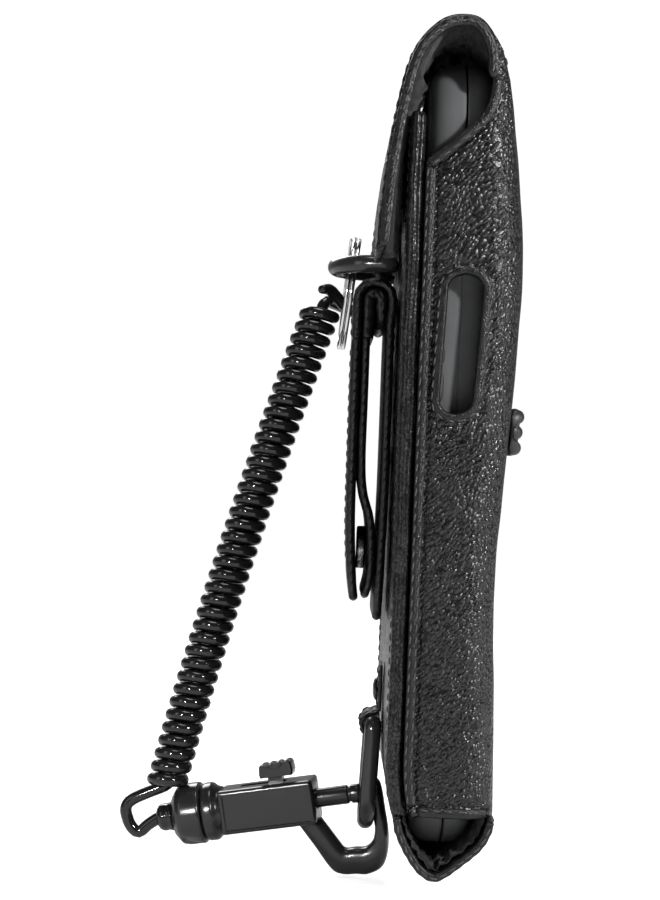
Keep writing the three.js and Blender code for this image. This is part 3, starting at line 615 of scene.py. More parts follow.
def side_bulge(depth, height):
    """The soft outward swell of a gusset between its sewn edges."""
    across_swell = np.sin(math.pi * np.clip((depth - 5.0) / 17.0, 0, 1)) ** 0.8
    up = smoothstep(height, 13, 40) * (1 - smoothstep(height, 135, 162))
    return 0.75 * across_swell * (0.35 + 0.65 * up)


def window_distance(depth, height):
    """Distance outside the window's oval edge (negative inside), on the near side."""
    x = depth - WINDOW_DEPTH - (height - WINDOW_HEIGHT) * WINDOW_LEAN
    straight = WINDOW_HALF_LENGTH - WINDOW_HALF_WIDTH
    z = np.abs(height - WINDOW_HEIGHT) - straight
    return np.where(z > 0, np.hypot(x, z), np.abs(x)) - WINDOW_HALF_WIDTH


def window_edge_point(depth, height, grow=0.0):
    """The nearest point of the window's oval, moved out by grow."""
    straight = WINDOW_HALF_LENGTH - WINDOW_HALF_WIDTH
    z = height - WINDOW_HEIGHT
    centre_z = np.clip(z, -straight, straight)
    centre_x = WINDOW_DEPTH + z * WINDOW_LEAN
    dx, dz = depth - centre_x, z - centre_z
    size = np.maximum(np.hypot(dx, dz), 1e-6)
    reach = WINDOW_HALF_WIDTH + grow
    return centre_x + dx / size * reach, WINDOW_HEIGHT + centre_z + dz / size * reach


def gusset_relief(points, depth, height, near):
    """Wrinkles, puckers and sewn-in edges of a gusset, as a height above the smooth surface."""
    soft = 0.22 * grain_noise(points, 13.0, 3.1) + 0.09 * grain_noise(points, 3.2, 8.4)
    lean = np.stack([(points[..., 0] + points[..., 2] * 0.55) / 0.42, points[..., 1] / 2.0,
                     (points[..., 2] - points[..., 0] * 0.55) / 2.2], axis=-1)
    creases = -0.28 * np.clip(0.25 - np.abs(grain_noise(lean, 3.6, 21.7)), 0, 1) / 0.25
    creases = creases * (1 - smoothstep(height, 78, 104)) * (0.4 + 0.6 * (1 - smoothstep(depth, 9, 19)))
    seam = -0.42 * np.exp(-((depth - 5.75) / 0.5) ** 2)
    hem = 0.32 * (1 - smoothstep(height, 14.6, 15.6)) - 0.25 * np.exp(-((height - 15.9) / 0.45) ** 2)
    below_top = top_of(depth) - height
    top_seam = -0.3 * np.exp(-((below_top - 2.7) / 0.5) ** 2)
    relief = soft + creases + seam + np.where(height < 17, hem, 0) + top_seam
    if near is not None:
        away = np.where(near, window_distance(depth, height), 99.0)
        x = depth - WINDOW_DEPTH
        z = height - WINDOW_HEIGHT
        turn = np.arctan2(x, z * 0.35)
        pucker = 0.2 * np.sin(turn * 17 + 1.5 * np.sin(z * 0.4)) * np.exp(-np.clip(away - 1.9, 0, None) / 1.6)
        groove = -0.35 * np.exp(-((away - 2.15) / 0.35) ** 2)
        relief = relief + pucker + groove + 0.35 * np.exp(-np.clip(away, 0, None) / 3.5)
    return relief


def wrap_shares():
    """Places round the wrap: close together on the two sides, wider apart over the front."""
    side = np.linspace(0, 0.158, 44, endpoint=False)
    return np.concatenate([side, np.linspace(0.158, 0.842, 76, endpoint=False), 1 - side[::-1]])


def wrap_grid(thickness_in=0.0, relief=True):
    shares = wrap_shares()[:, None]
    rise = np.linspace(0, 1, 260)[None, :]
    depth0, across0, _, _ = plan(shares, np.full_like(shares, 90.0))
    top = np.minimum(top_of(depth0), 165.1)
    height = WRAP_LOW + (top - WRAP_LOW) * rise + 0 * shares
    depth, out, nx, ny = plan(shares + 0 * rise, height)
    bulge = side_bulge(depth, height) * np.abs(ny)
    crown = 0.5 * np.cos(np.clip(out / HALF_WIDTH, -1, 1) * math.pi / 2) * nx
    x = follow(depth, height) + crown * nx
    points = np.stack([x, out + np.sign(ny) * bulge, height], axis=-1)
    normals = np.stack([nx, ny, np.zeros_like(nx)], axis=-1)
    if relief:
        near = (out < 0) & (np.abs(ny) > 0.2)
        rise_mm = gusset_relief(points, depth, height, near)
        on_side = smoothstep(np.abs(ny), 0.15, 0.8)
        plain = 0.25 * grain_noise(points, 17.0, 5.5)
        points = points + normals * (rise_mm * on_side + plain * (1 - on_side))[..., None]
    return points - normals * thickness_in, normals, depth, height


def build_front_wrap():
    outer, normals, depth, height = wrap_grid()
    fill_u = edge_round(outer.shape[0], 0.28, 0.6)[:, None, None]
    fill_v = edge_round(outer.shape[1], 0.58, 0.8, first=True, last=False)[None, :, None]
    fill = fill_u * fill_v
    middle = outer - normals * LEATHER / 2
    outer = middle + normals * LEATHER / 2 * fill
    inner = middle - normals * LEATHER / 2 * fill
    rows, columns = outer.shape[:2]
    faces = shell_faces(rows, columns)
    near = outer[..., 1] < -HALF_WIDTH / 2
    inside = ((window_distance(depth, height) < 0.12) & near).ravel()
    grid = quads(np.arange(rows * columns).reshape(rows, columns))
    gone = inside[grid].all(axis=1)
    kept_outer, kept_inner = grid[~gone], grid[~gone][:, ::-1] + rows * columns
    rims = faces[2 * len(grid):]
    x, z = window_edge_point(depth.ravel(), height.ravel(), 0.12)
    for skin in (outer, inner):
        flat = skin.reshape(-1, 3)
        shift = x[inside] - depth.ravel()[inside]
        flat[inside, 0] += shift
        flat[inside, 2] = z[inside]
    edges = {}
    for a, b, c, d in grid[gone]:
        for edge in ((a, b), (b, c), (c, d), (d, a)):
            edges.pop(edge[::-1], None) or edges.update({edge: True})
    wall = [(a, b, b + rows * columns, a + rows * columns) for a, b in edges]
    points = np.concatenate([outer.reshape(-1, 3), inner.reshape(-1, 3)])
    used = np.zeros(len(points), bool)
    everything = [tuple(f) for f in np.vstack([kept_outer, kept_inner, rims])] + wall
    for face in everything:
        used[list(face)] = True
    renumber = np.cumsum(used) - 1
    everything = [tuple(renumber[i] for i in face) for face in everything]
    made = face_out(solid("front_wrap_leather", points[used], everything, PEBBLED))
    fit(made, "root", "pebbled_leather", "front_wrap")
    return outer, depth, height


build_front_wrap()


# ---- Sewn edges lying on the gussets ---------------------------------------------------------------
def side_surface(depth, height, side):
    """A gusset's outer face at a nominal depth and height, as (depth, across, height) points."""
    radius = corner_radius(height)
    turned = np.clip(depth - (FRONT_NOMINAL - radius), 0, radius * 0.98)
    drop = radius - np.sqrt(radius ** 2 - turned ** 2)
    out = HALF_WIDTH - drop + side_bulge(depth, height) * (1 - turned / radius)
    return np.stack([follow(depth, height), side * out, height], axis=-1)


def hem_strip(name, run, width, side, lift, wave=0.07, step=0.3):
    """A folded edge sewn onto a gusset: run is its (depth, height) line, and it lies to the run's left."""
    run = spaced(np.asarray(run, float), max(12, int(run_length(np.asarray(run, float)) / step)))
    leftward = left_of(run)
    shares = np.linspace(0, 1, 11)
    flat = run[:, None] + leftward[:, None] * shares[None, :, None] * width
    surface = side_surface(flat[..., 0], flat[..., 1], side)
    length = np.linspace(0, run_length(run), len(run))
    pinch = 1 - 0.16 * np.cos(2 * math.pi * length / STITCH_PITCH)[:, None]
    crown = np.sqrt(np.clip(1 - np.abs(2 * shares - 1) ** 3.2, 0, 1))[None, :]
    rows = np.exp(-((np.abs(2 * shares - 1) - 0.5) / 0.16) ** 2)[None, :]
    rise = lift * (0.3 + 0.7 * crown) - 0.13 * rows * pinch + wave * grain_noise(surface, 2.2, 4.0)
    ends = edge_round(len(run), step, 0.7)[:, None]
    outer = surface + np.array([0, side, 0]) * (rise * ends)[..., None]
    inner = surface - np.array([0, side, 0]) * 0.25
    return shell(name, outer, inner, EDGE), run, leftward


def hem_stitches(name, run, leftward, width, side, lift, shares):
    """Stitch rows along a hem, at the given shares of its width."""
    for number, share in enumerate(shares):
        flat = run + leftward * share * width
        rows = side_surface(flat[:, 0], flat[:, 1], side) + np.array([0, side * (lift * 0.86 - 0.08), 0])
        stitches(f"{name}_{number + 1}", rows, (0, side, 0), "root")


def build_hems():
    for side, word in ((-1, "near"), (1, "far")):
        heights = np.linspace(WRAP_LOW + 2.4, 146.6, 60)
        rear = np.stack([np.full_like(heights, WRAP_REAR + 2.0), heights], axis=1)
        hem, run, leftward = hem_strip(f"side_hem_{word}", rear, 2.0, side, 0.75)
        fit(hem, "root", "smooth_leather", f"side_binding_{word}")
        hem_stitches(f"side_hem_stitches_{word}", run, leftward, 2.0, side, 0.75, (0.22, 0.8))

        top = smooth_curve(TOP_EDGE, 80)
        hem, run, leftward = hem_strip(f"top_hem_{word}", top[::-1], 2.1, side, 0.8)
        fit(hem, "root", "smooth_leather", f"top_binding_{word}")
        hem_stitches(f"top_hem_stitches_{word}", run, leftward, 2.1, side, 0.8, (0.72,))

        low = np.stack([np.linspace(5.6, 20.5, 60), np.full(60, WRAP_LOW + 0.15)], axis=1)
        hem, run, leftward = hem_strip(f"bottom_hem_{word}", low, 2.0, side, 0.62)
        fit(hem, "root", "smooth_leather", f"bottom_binding_{word}")
        hem_stitches(f"bottom_hem_stitches_{word}", run, leftward, 2.0, side, 0.62, (0.75,))


# ---- The window's raised rim -----------------------------------------------------------------------
def oval_run(grow, count):
    angle = np.linspace(0, 2 * math.pi, count * 4, endpoint=False)
    straight = WINDOW_HALF_LENGTH - WINDOW_HALF_WIDTH
    reach = WINDOW_HALF_WIDTH + grow
    x = np.cos(angle) * reach
    z = np.sin(angle) * reach + np.where(np.sin(angle) > 0, straight, -straight)
    run = np.stack([WINDOW_DEPTH + x + z * WINDOW_LEAN, WINDOW_HEIGHT + z], axis=1)
    return spaced(np.vstack([run, run[:1]]), count, closed=True)


def build_window_rim():
    count = 220
    shares = np.linspace(0, 1, 13)
    rings = np.stack([oval_run(-0.12 + share * 1.85, count) for share in shares], axis=1)
    surface = side_surface(rings[..., 0], rings[..., 1], -1)
    crown = np.clip(1 - np.abs(2 * shares - 0.85) ** 2.6, 0, 1)[None, :] ** 0.6
    lip = -1.5 * np.clip(0.12 - shares, 0, 1)[None, :] / 0.12
    waves = 0.05 * np.sin(np.arange(count) * 2 * math.pi * 17 / count)[:, None] * shares[None, :]
    rise = 0.12 + 0.62 * crown + lip + waves + 0.06 * grain_noise(surface, 3.0, 12.0)
    outer = surface - np.array([0, 1, 0]) * rise[..., None]
    inner = surface + np.array([0, 1, 0]) * 0.2
    inner[:, 0] += np.array([0, 1.4, 0])
    rim = face_out(solid("window_rim_roll", np.concatenate([outer.reshape(-1, 3), inner.reshape(-1, 3)]),
                         shell_faces(count, len(shares), closed=True), EDGE))
    fit(rim, "root", "smooth_leather", "window_rim")
    run = oval_run(1.45, count)
    place = side_surface(run[:, 0], run[:, 1], -1) - np.array([0, 0.42, 0])
    stitches("window_stitches", np.vstack([place, place[:1]]), (0, -1, 0), "root", pitch=2.3)


# ---- The padded back panel -------------------------------------------------------------------------
def panel_section():
    """Plan of the panel: a flat back whose side edges are padded rolls, as (depth, across) points."""
    half, thick, edge, roll = HALF_WIDTH - 0.3, 1.4, 3.0, 1.9
    flat = np.linspace(-half + 2.6, half - 2.6, 70)
    back = np.stack([np.zeros_like(flat), flat], axis=1)
    far = arc(edge / 2, half - edge / 2, edge / 2, 180, 0, 22)
    inner_far = [(edge - 0.1, half - roll), (thick + 0.15, half - roll - 0.3), (thick, half - roll - 1.2)]
    front = np.stack([np.full(40, thick), np.linspace(half - roll - 2.0, -half + roll + 2.0, 40)], axis=1)
    inner_near = [(x, -y) for x, y in reversed(inner_far)]
    near = arc(edge / 2, -half + edge / 2, edge / 2, 0, -180, 22)
    return np.vstack([back, far, inner_far, front, inner_near, near])


def build_back_panel():
    section = panel_section()
    heights = np.linspace(13.2, PANEL_TOP, 230)
    points = np.empty((len(heights), len(section), 3))
    points[..., 0] = section[:, 0] + foot_depth(heights)[:, None]
    points[..., 1] = section[:, 1]
    points[..., 2] = heights[:, None]
    outward = grid_normals(points)
    outward *= np.where((outward[:, :5, 0] > 0).mean() > 0.5, -1, 1)
    edge = smoothstep(np.abs(points[..., 1]), 40.5, 42.6)
    rear = smoothstep(-outward[..., 0], 0.2, 0.9)
    soft = 0.16 * grain_noise(points, 9.0, 2.0) + 0.1 * grain_noise(points * np.array([1, 1, 0.35]), 2.0, 7.0)
    crease = -0.35 * np.exp(-((section[:, 0] - 1.75 - 0.18 * np.sin(heights[:, None] * 0.21)) / 0.24) ** 2) * edge
    seam = -0.3 * np.exp(-((np.abs(points[..., 1]) - 40.3) / 0.45) ** 2) * rear
    swell = 0.16 * edge
    top = smoothstep(heights, PANEL_TOP - 1.0, PANEL_TOP)[:, None]
    points += outward * (soft + crease + seam + swell - 0.45 * top)[..., None] * np.where(
        points[..., :1] > 1.2, edge[..., None], 1.0)
    made = loft("back_panel_leather", points, PEBBLED_PANEL)
    fit(made, "root", "pebbled_leather", "back_panel")
    for side, word in ((-1, "near"), (1, "far")):
        rows = np.stack([foot_depth(heights) - 0.02, np.full_like(heights, side * 40.3), heights], axis=1)
        stitches(f"panel_stitches_{word}", rows[4:-3], (-1, 0, 0), "root")


# ---- The foot: leather and lining that wrap under the handheld --------------------------------------
def foot_sheet(name, near, far, half, material, relief, rows=110, columns=96):
    run = smooth_curve(FOOT_RUN, rows)
    inward = -left_of(run)
    spread = np.linspace(-half, half, columns)
    base = np.empty((rows, columns, 3))
    base[..., 0] = run[:, None, 0]
    base[..., 1] = spread[None, :]
    base[..., 2] = run[:, None, 1]
    normal = np.stack([inward[:, 0], np.zeros(rows), inward[:, 1]], axis=1)[:, None]
    lift = relief(base, run)
    fill = edge_round(columns, 2 * half / (columns - 1), 0.75)[None, :, None]
    middle = base + normal * ((near + far) / 2 - lift)[..., None]
    half_thick = (far - near) / 2 * fill
    return shell(name, middle - normal * half_thick, middle + normal * half_thick, material), run, inward


def foot_outer_relief(base, run):
    edge = HALF_WIDTH - np.abs(base[..., 1])
    length = np.linspace(0, run_length(run), len(run))[:, None]
    pinch = np.exp(-((edge - 2.0) / 0.5) ** 2) * (-0.22 - 0.1 * np.cos(2 * math.pi * length / STITCH_PITCH))
    ends = np.sin(math.pi * np.linspace(0, 1, len(run)))[:, None] ** 0.4
    return (0.2 * grain_noise(base, 11.0, 6.0) + pinch) * ends


def foot_lining_relief(base, run):
    edge = smoothstep(43.0 - np.abs(base[..., 1]), 0.0, 2.0)
    length = np.linspace(0, run_length(run), len(run))[:, None]
    folds = np.sin(length * 1.9 + 2.2 * grain_noise(base, 6.0, 15.0)) ** 3
    return 0.3 * folds * (1 - 0.4 * edge) + 0.22 * grain_noise(base, 2.4, 33.0)


def build_foot():
    sheet, run, inward = foot_sheet("bottom_wrap_leather", 0, LEATHER, HALF_WIDTH, PEBBLED, foot_outer_relief)
    fit(sheet, "root", "pebbled_leather", "bottom_wrap")
    for side, word in ((-1, "near"), (1, "far")):
        rows = np.stack([run[:, 0], np.full(len(run), side * (HALF_WIDTH - 2.0)), run[:, 1]], axis=1)
        rows += np.stack([-inward[:, 0], np.zeros(len(run)), -inward[:, 1]], axis=1) * -0.12
        out = np.stack([-inward[:, 0], np.zeros(len(run)), -inward[:, 1]], axis=1)
        stitches(f"foot_stitches_{word}", rows[6:-6], out[6:-6], "root")
        edge = run + inward * (LEATHER / 2)
        bead = np.stack([edge[:, 0], np.full(len(run), side * (HALF_WIDTH - 0.1)), edge[:, 1]], axis=1)
        section = rounded_section(0.82, 0.42, 3.0, 16)
        wave = 1 + 0.06 * np.cos(2 * math.pi * np.linspace(0, run_length(run), len(run)) / STITCH_PITCH)
        sideways = np.stack([inward[:, 0], np.zeros(len(run)), inward[:, 1]], axis=1)
        piping = sweep(f"foot_edge_{word}", bead[2:-2], section, EDGE, sideways[2:-2], scale=wave[2:-2])
        fit(piping, "root", "smooth_leather")
        rim = bead[5:-5] + np.array([0, side * 0.4, 0])
        stitches(f"foot_edge_stitches_{word}", rim, (0, side, 0), "root", pitch=2.1)
    lining, _, _ = foot_sheet("bottom_lining_cloth", LEATHER + 0.45, LEATHER + 0.95, 43.0, LINING, foot_lining_relief)
    fit(lining, "root", "lining_fabric", "bottom_lining")


# ---- The ribbed badge on the front -----------------------------------------------------------------
def build_badge():
    low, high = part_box("front_badge")
    half = (high.y - low.y) / 2 / MM
    centre = (low.z + high.z) / 2 / MM - LOW / MM
    pitch, lobe = 3.3, 1.55
    front = float(front_depth(centre))
    lean = math.atan((float(front_depth(centre + 5)) - float(front_depth(centre - 5))) / 10)
    outline = [(0.35, 1.5 * pitch), (0.9, 1.5 * pitch + 0.1)]
    for i in (1, 0, -1):
        outline += [(1.4 + lobe * math.cos(a) * 1.0, i * pitch + lobe * math.sin(a))
                    for a in np.radians(np.linspace(62, -62, 10))]
    outline += [(0.9, -1.5 * pitch - 0.1), (0.35, -1.5 * pitch)]
    outline = np.array(outline)
    turned = np.stack([outline[:, 0] * math.cos(lean) + outline[:, 1] * math.sin(lean),
                       outline[:, 1] * math.cos(lean) - outline[:, 0] * math.sin(lean)], axis=1)
    places = np.concatenate([np.linspace(-half, -half + 2.5, 9), np.linspace(-half + 3, half - 3, 24),
                             np.linspace(half - 2.5, half, 9)])
    rings = np.empty((len(places), len(turned), 3))
    from_end = np.clip((half - np.abs(places)) / 2.5, 0, 1)
    full = np.sqrt(np.clip(1 - (1 - from_end) ** 2, 0.02, 1))
    for i, (y, size) in enumerate(zip(places, full)):
        tall = 0.55 + 0.45 * size
        rings[i, :, 0] = front + 0.45 + turned[:, 0] * (0.25 + 0.75 * size)
        rings[i, :, 1] = y
        rings[i, :, 2] = centre + turned[:, 1] * tall
    fit(loft("front_badge_rubber", rings, BADGE_RUBBER), "root", "badge_rubber", "front_badge")


build_hems()
build_window_rim()
build_back_panel()
build_foot()
build_badge()


# ---- The handheld inside ---------------------------------------------------------------------------
DEVICE_REAR, DEVICE_FRONT, PARTING = 4.0, 18.6, 12.0
DEVICE_LOW, DEVICE_HIGH, DEVICE_HALF, DEVICE_CORNER = 5.2, 170.4, 40.4, 13.0
DEVICE_ROUND_DEPTH, DEVICE_ROUND_SIDE = 7.0, 8.0


def slab_outline(inset):
    """The handheld's outline at an inset, as (across, height) points with rounded corners."""
    half, low, high = DEVICE_HALF - inset, DEVICE_LOW + inset, DEVICE_HIGH - inset
    r = max(DEVICE_CORNER - 0.75 * inset, 3.0)
    near = np.stack([np.full(40, -half), np.linspace(high - r - 4, low + r + 4, 40)], axis=1)
    corners = [arc(half - r, high - r, r, 0, 90, 16), arc(-half + r, high - r, r, 90, 180, 16), near,
               arc(-half + r, low + r, r, 180, 270, 16), arc(half - r, low + r, r, 270, 360, 16)]
    return np.vstack(corners)


def slab_rings(profile):
    """Rings round the handheld at each (depth, inset). The parting groove closes up behind the key window."""
    rings = []
    middle = (DEVICE_LOW + DEVICE_HIGH) / 2
    for depth, inset in profile:
        groove = abs(depth - PARTING) < 0.5
        flat = slab_outline(inset)
        lean = -0.00436 * (flat[:, 1] - middle)
        rings.append(np.stack([depth + lean, flat[:, 0], flat[:, 1]], axis=1))
        if groove:
            ring = rings[-1]
            shut = 1 - smoothstep(np.abs(ring[:, 2] - WINDOW_HEIGHT), WINDOW_HALF_LENGTH + 2, WINDOW_HALF_LENGTH + 5)
            shut = shut * (ring[:, 1] < 0)
            ring[:, 0] += (PARTING - depth) * 0.93 * shut
            ring[:, 1] -= inset * 0.9 * shut
    return np.array(rings)


def rounded_side(start, end, count=14):
    """A squarish quarter ellipse from the flat face's edge at start to the full outline at end, as (depth, inset)."""
    power = 2.0 / 2.7
    angle = np.linspace(0, math.pi / 2, count)
    return [(start + (end - start) * (1 - math.cos(a) ** power), DEVICE_ROUND_SIDE * (1 - math.sin(a) ** power))
            for a in angle]


def build_device():
    groove = [(PARTING - 0.42, 0.0), (PARTING - 0.2, 0.22), (PARTING - 0.15, 1.6)]
    rear = rounded_side(DEVICE_REAR, DEVICE_REAR + DEVICE_ROUND_DEPTH)
    cover_line = 4
    depth, inset = rear[cover_line]
    rear[cover_line:cover_line + 1] = [(depth - 0.12, inset + 0.06), (depth - 0.02, inset + 0.34),
                                       (depth + 0.16, inset + 0.3), (depth + 0.2, inset - 0.22)]
    rear_half = loft("device_rear_cover", slab_rings(rear + groove), SHELL_GREY)
    fit(rear_half, "root", "device_plastic", "device_rear_shell")
    front = rounded_side(DEVICE_FRONT, DEVICE_FRONT - DEVICE_ROUND_DEPTH + 0.9)
    groove = [(PARTING + 0.42, 0.0), (PARTING + 0.2, 0.22), (PARTING + 0.15, 1.6)]
    front_half = loft("device_front_cover", slab_rings(front + groove), SHELL_GREY)
    fit(front_half, "root", "device_plastic", "device_front_shell")


def build_keys():
    """Side keys: long domes that stand out of the handheld's near side."""
    for word in ("lower", "middle", "upper"):
        low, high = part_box(f"side_key_{word}")
        centre = (low + high) / 2
        depth, height = (centre.x - BACK) / MM, (centre.z - LOW) / MM
        half_x, half_z = (high.x - low.x) / 2 / MM, (high.z - low.z) / 2 / MM
        root_y, tip_y = high.y / MM, low.y / MM
        rings = []
        for t in np.linspace(0, 1, 12):
            size = 1.0 if t < 0.35 else math.sqrt(max(0.0, 1 - ((t - 0.35) / 0.65) ** 2.4))
            flat = rounded_section(half_x * (0.12 + 0.88 * size), half_z * (0.45 + 0.55 * size), 2.6, 28)
            rings.append([(depth + x, root_y + (tip_y - root_y) * t, height + z) for x, z in flat])
        key = loft(f"side_key_{word}_cap", np.array(rings), KEY_RUBBER)
        fit(key, f"key_{word}", "key_rubber", f"side_key_{word}")


# ---- The flap: a hood from the top of the front over to the back ------------------------------------
def flap_end_length(across, total):
    """How far along the flap each strip runs: an arch in the middle, rounded outer corners."""
    y = np.abs(across)
    arch = ARCH_HEIGHT * np.sqrt(np.clip(1 - (y / ARCH_HALF_WIDTH) ** 2, 0, 1))
    corner = np.clip(y - (HALF_WIDTH - 2), 0, 2)
    return total - arch - (2 - np.sqrt(np.clip(4 - corner ** 2, 0, None)))


def flap_point(run, inward, length, across, depth_in, total):
    """Points on the hood at a length along it and a place across it, sunk depth_in below its outer face."""
    share = np.linspace(0, total, len(run))
    x, z = np.interp(length, share, run[:, 0]), np.interp(length, share, run[:, 1])
    nx, nz = np.interp(length, share, inward[:, 0]), np.interp(length, share, inward[:, 1])
    radius = 0.9 + 2.3 * (1 - smoothstep(length, 0, 13))
    over = np.clip(np.abs(across) - (HALF_WIDTH - radius), 0, radius * 0.995)
    drop = radius - np.sqrt(radius ** 2 - over ** 2) + depth_in
    return np.stack([x + nx * drop, across + 0 * x, z + nz * drop], axis=-1), np.stack([nx, 0 * nx, nz], axis=-1)


def flap_blend(made):
    """Bakes the piece's placement into its mesh."""
    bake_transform(made)


def build_flap():
    run = smooth_curve(FLAP_RUN, 240)
    inward = left_of(run)
    total = run_length(run)
    across = np.linspace(-HALF_WIDTH, HALF_WIDTH, 128)[None, :]
    rise = np.linspace(0, 1, 190)[:, None]
    length = rise * flap_end_length(across, total)
    base, normal = flap_point(run, inward, length, across, 0.0, total)
    side_gap = HALF_WIDTH - np.abs(across)
    end_gap = flap_end_length(across, total) - length
    seam = -0.26 * np.exp(-((side_gap - 2.6) / 0.45) ** 2) - 0.26 * np.exp(-((end_gap - 2.6) / 0.45) ** 2)
    soft = 0.3 * grain_noise(base, 15.0, 14.0) + 0.08 * grain_noise(base, 3.0, 2.0)
    fade = smoothstep(length, 0.0, 5.0)
    base = base - normal * ((seam + soft) * fade)[..., None]
    fill = edge_round(128, 0.7, 0.75)[None, :, None] * edge_round(190, 0.46, 0.75, first=False)[:, None, None]
    middle = base + normal * LEATHER / 2
    made = shell("flap_leather", middle - normal * LEATHER / 2 * fill, middle + normal * LEATHER / 2 * fill, PEBBLED)
    flap_blend(stands_for(made, "pebbled_leather", "flap_outer"))

    across = np.linspace(-HALF_WIDTH + 0.9, HALF_WIDTH - 0.9, 150)[None, :]
    limit = flap_end_length(across, total) - 1.2
    length = 1.2 + rise * (limit - 1.2)
    base, normal = flap_point(run, inward, length, across, LEATHER + 0.3, total)
    folds = np.clip(grain_noise(np.stack([base[..., 0] / 2.6, base[..., 1] / 9.0, base[..., 2] / 2.6], axis=-1),
                                1.0, 44.0, 3) + 0.15, 0, 1)
    room = smoothstep(length, 6, 14) * (1 - smoothstep(length, 38, 50))
    inside = smoothstep(HALF_WIDTH - np.abs(across), 0.9, 4.5)
    lump = (0.12 + 1.1 * room * inside) * folds + 0.15 * np.abs(grain_noise(base, 1.6, 9.0))
    padding = np.interp(length, [0, 10, 30, 38, 41.5, 44, 52, 63, total], [0, 0.3, 1.5, 2.3, 2.6, 1.3, 1.5, 2.4, 2.9])
    edge = np.clip((np.abs(across) - 25) / 17.5, 0, 1)
    lump = lump + padding * np.sin(math.pi * edge) ** 0.6 * (0.85 + 0.15 * folds)
    outer = base
    inner = base + normal * (0.4 + lump)[..., None]
    lining = shell("flap_lining_cloth", outer, inner, LINING)
    flap_blend(stands_for(lining, "lining_fabric", "flap_lining"))

    for side, word in ((-1, "near"), (1, "far")):
        reach = np.linspace(0.9, total - 1.8, 230)
        edge_y = np.full_like(reach, side * (HALF_WIDTH - 0.05))
        path, normal = flap_point(run, inward, reach, edge_y, 0.95, total)
        path[:, 1] = side * (HALF_WIDTH + 0.35)
        wave = 1 + 0.05 * np.cos(2 * math.pi * reach / STITCH_PITCH)
        ends = edge_round(len(reach), total / len(reach), 1.6)
        section = rounded_section(1.08, 0.72, 3.2, 22)
        binding = sweep(f"flap_edge_{word}", path, section, EDGE, normal, scale=wave * ends)
        flap_blend(stands_for(binding, "smooth_leather", f"flap_binding_{word}"))
        rows = path + normal * 0.12
        rows[:, 1] = side * (HALF_WIDTH + 1.02)
        made = stitches(f"flap_edge_stitches_{word}", rows[3:-3], (0, side, 0), None, pitch=1.9)
        flap_blend(stands_for(made, "smooth_leather"))
        edge_y = np.full(230, side * (HALF_WIDTH - 2.6))
        path, normal = flap_point(run, inward, np.linspace(3, total - 7, 230), edge_y, -0.02, total)
        made = stitches(f"flap_side_stitches_{word}", path, -normal, None, sunk=1.5)
        flap_blend(stands_for(made, "smooth_leather"))
    across = np.linspace(-HALF_WIDTH + 5, HALF_WIDTH - 5, 260)
    path, normal = flap_point(run, inward, flap_end_length(across, total) - 2.6, across, -0.02, total)
    fit(stitches("flap_end_stitches", path, -normal, None, sunk=1.5), "flap", "smooth_leather")


def soft_patch(name, node, body, facing):
    """A sewn-on patch of hook-and-loop: a thin pad with rounded edges and a furry face."""
    low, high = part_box(node)
    pad = frame["nodes"][node]
    corners = np.array([v.co for v in pad.data.vertices]) / MM - np.array([BACK, 0, LOW]) / MM
    heights = np.linspace(corners[:, 2].min(), corners[:, 2].max(), 40)
    spread = np.linspace(low.y / MM, high.y / MM, 150)
    place = corners[np.argsort(corners[:, 2])]
    front = [np.interp(heights, *edge_run(place, sign)) for sign in (-1, 1)]
    fur = 0.09 * grain_noise(np.stack(np.meshgrid(heights, spread, [0.0], indexing="ij"), axis=-1)[:, :, 0], 0.5, 3.0)
    fill = edge_round(40, 0.23, 0.5)[:, None] * edge_round(150, 0.32, 0.6)[None, :]
    middle = ((front[0] + front[1]) / 2)[:, None]
    half = ((front[1] - front[0]) / 2)[:, None] * fill
    grid = np.zeros((40, 150, 3))
    grid[..., 1] = spread[None, :]
    grid[..., 2] = heights[:, None]
    outer, inner = grid.copy(), grid.copy()
    outer[..., 0] = middle + half + (fur if facing > 0 else 0)
    inner[..., 0] = middle - half - (0 if facing > 0 else fur)
    fit(shell(name, outer, inner, LINING), body, "hook_and_loop", node)


def edge_run(place, sign):
    """The lowest (-1) or highest (+1) depth of a pad's corners at each height."""
    heights = np.unique(np.round(place[:, 2], 2))
    best = [place[np.abs(place[:, 2] - h) < 0.6][:, 0] for h in heights]
    return heights, [b.max() if sign > 0 else b.min() for b in best]


# ---- The belt strap --------------------------------------------------------------------------------
STRAP_HALF, PLY = 17.0, 2.0
FOLD_DEPTH, FOLD_HEIGHT, FOLD_RADIUS = -5.4, 121.05, 4.8
STRAP_SPLIT = 112.5
INNER_LEG = [(-1.5, 50.4), (-0.9, 78.5), (-0.9, 113.5), (-0.6, 119)]
OUTER_LEG = [(-10.2, STRAP_SPLIT), (-10.2, 100), (-10.15, 88), (-10, 72), (-9.3, 60), (-8.6, 54.4)]
INNER_PLY = [(-6.2, STRAP_SPLIT), (-6.2, 100), (-6.2, 86), (-5.6, 79), (-3.9, 73), (-3.4, 66), (-3.5, 60), (-4.6, 55)]


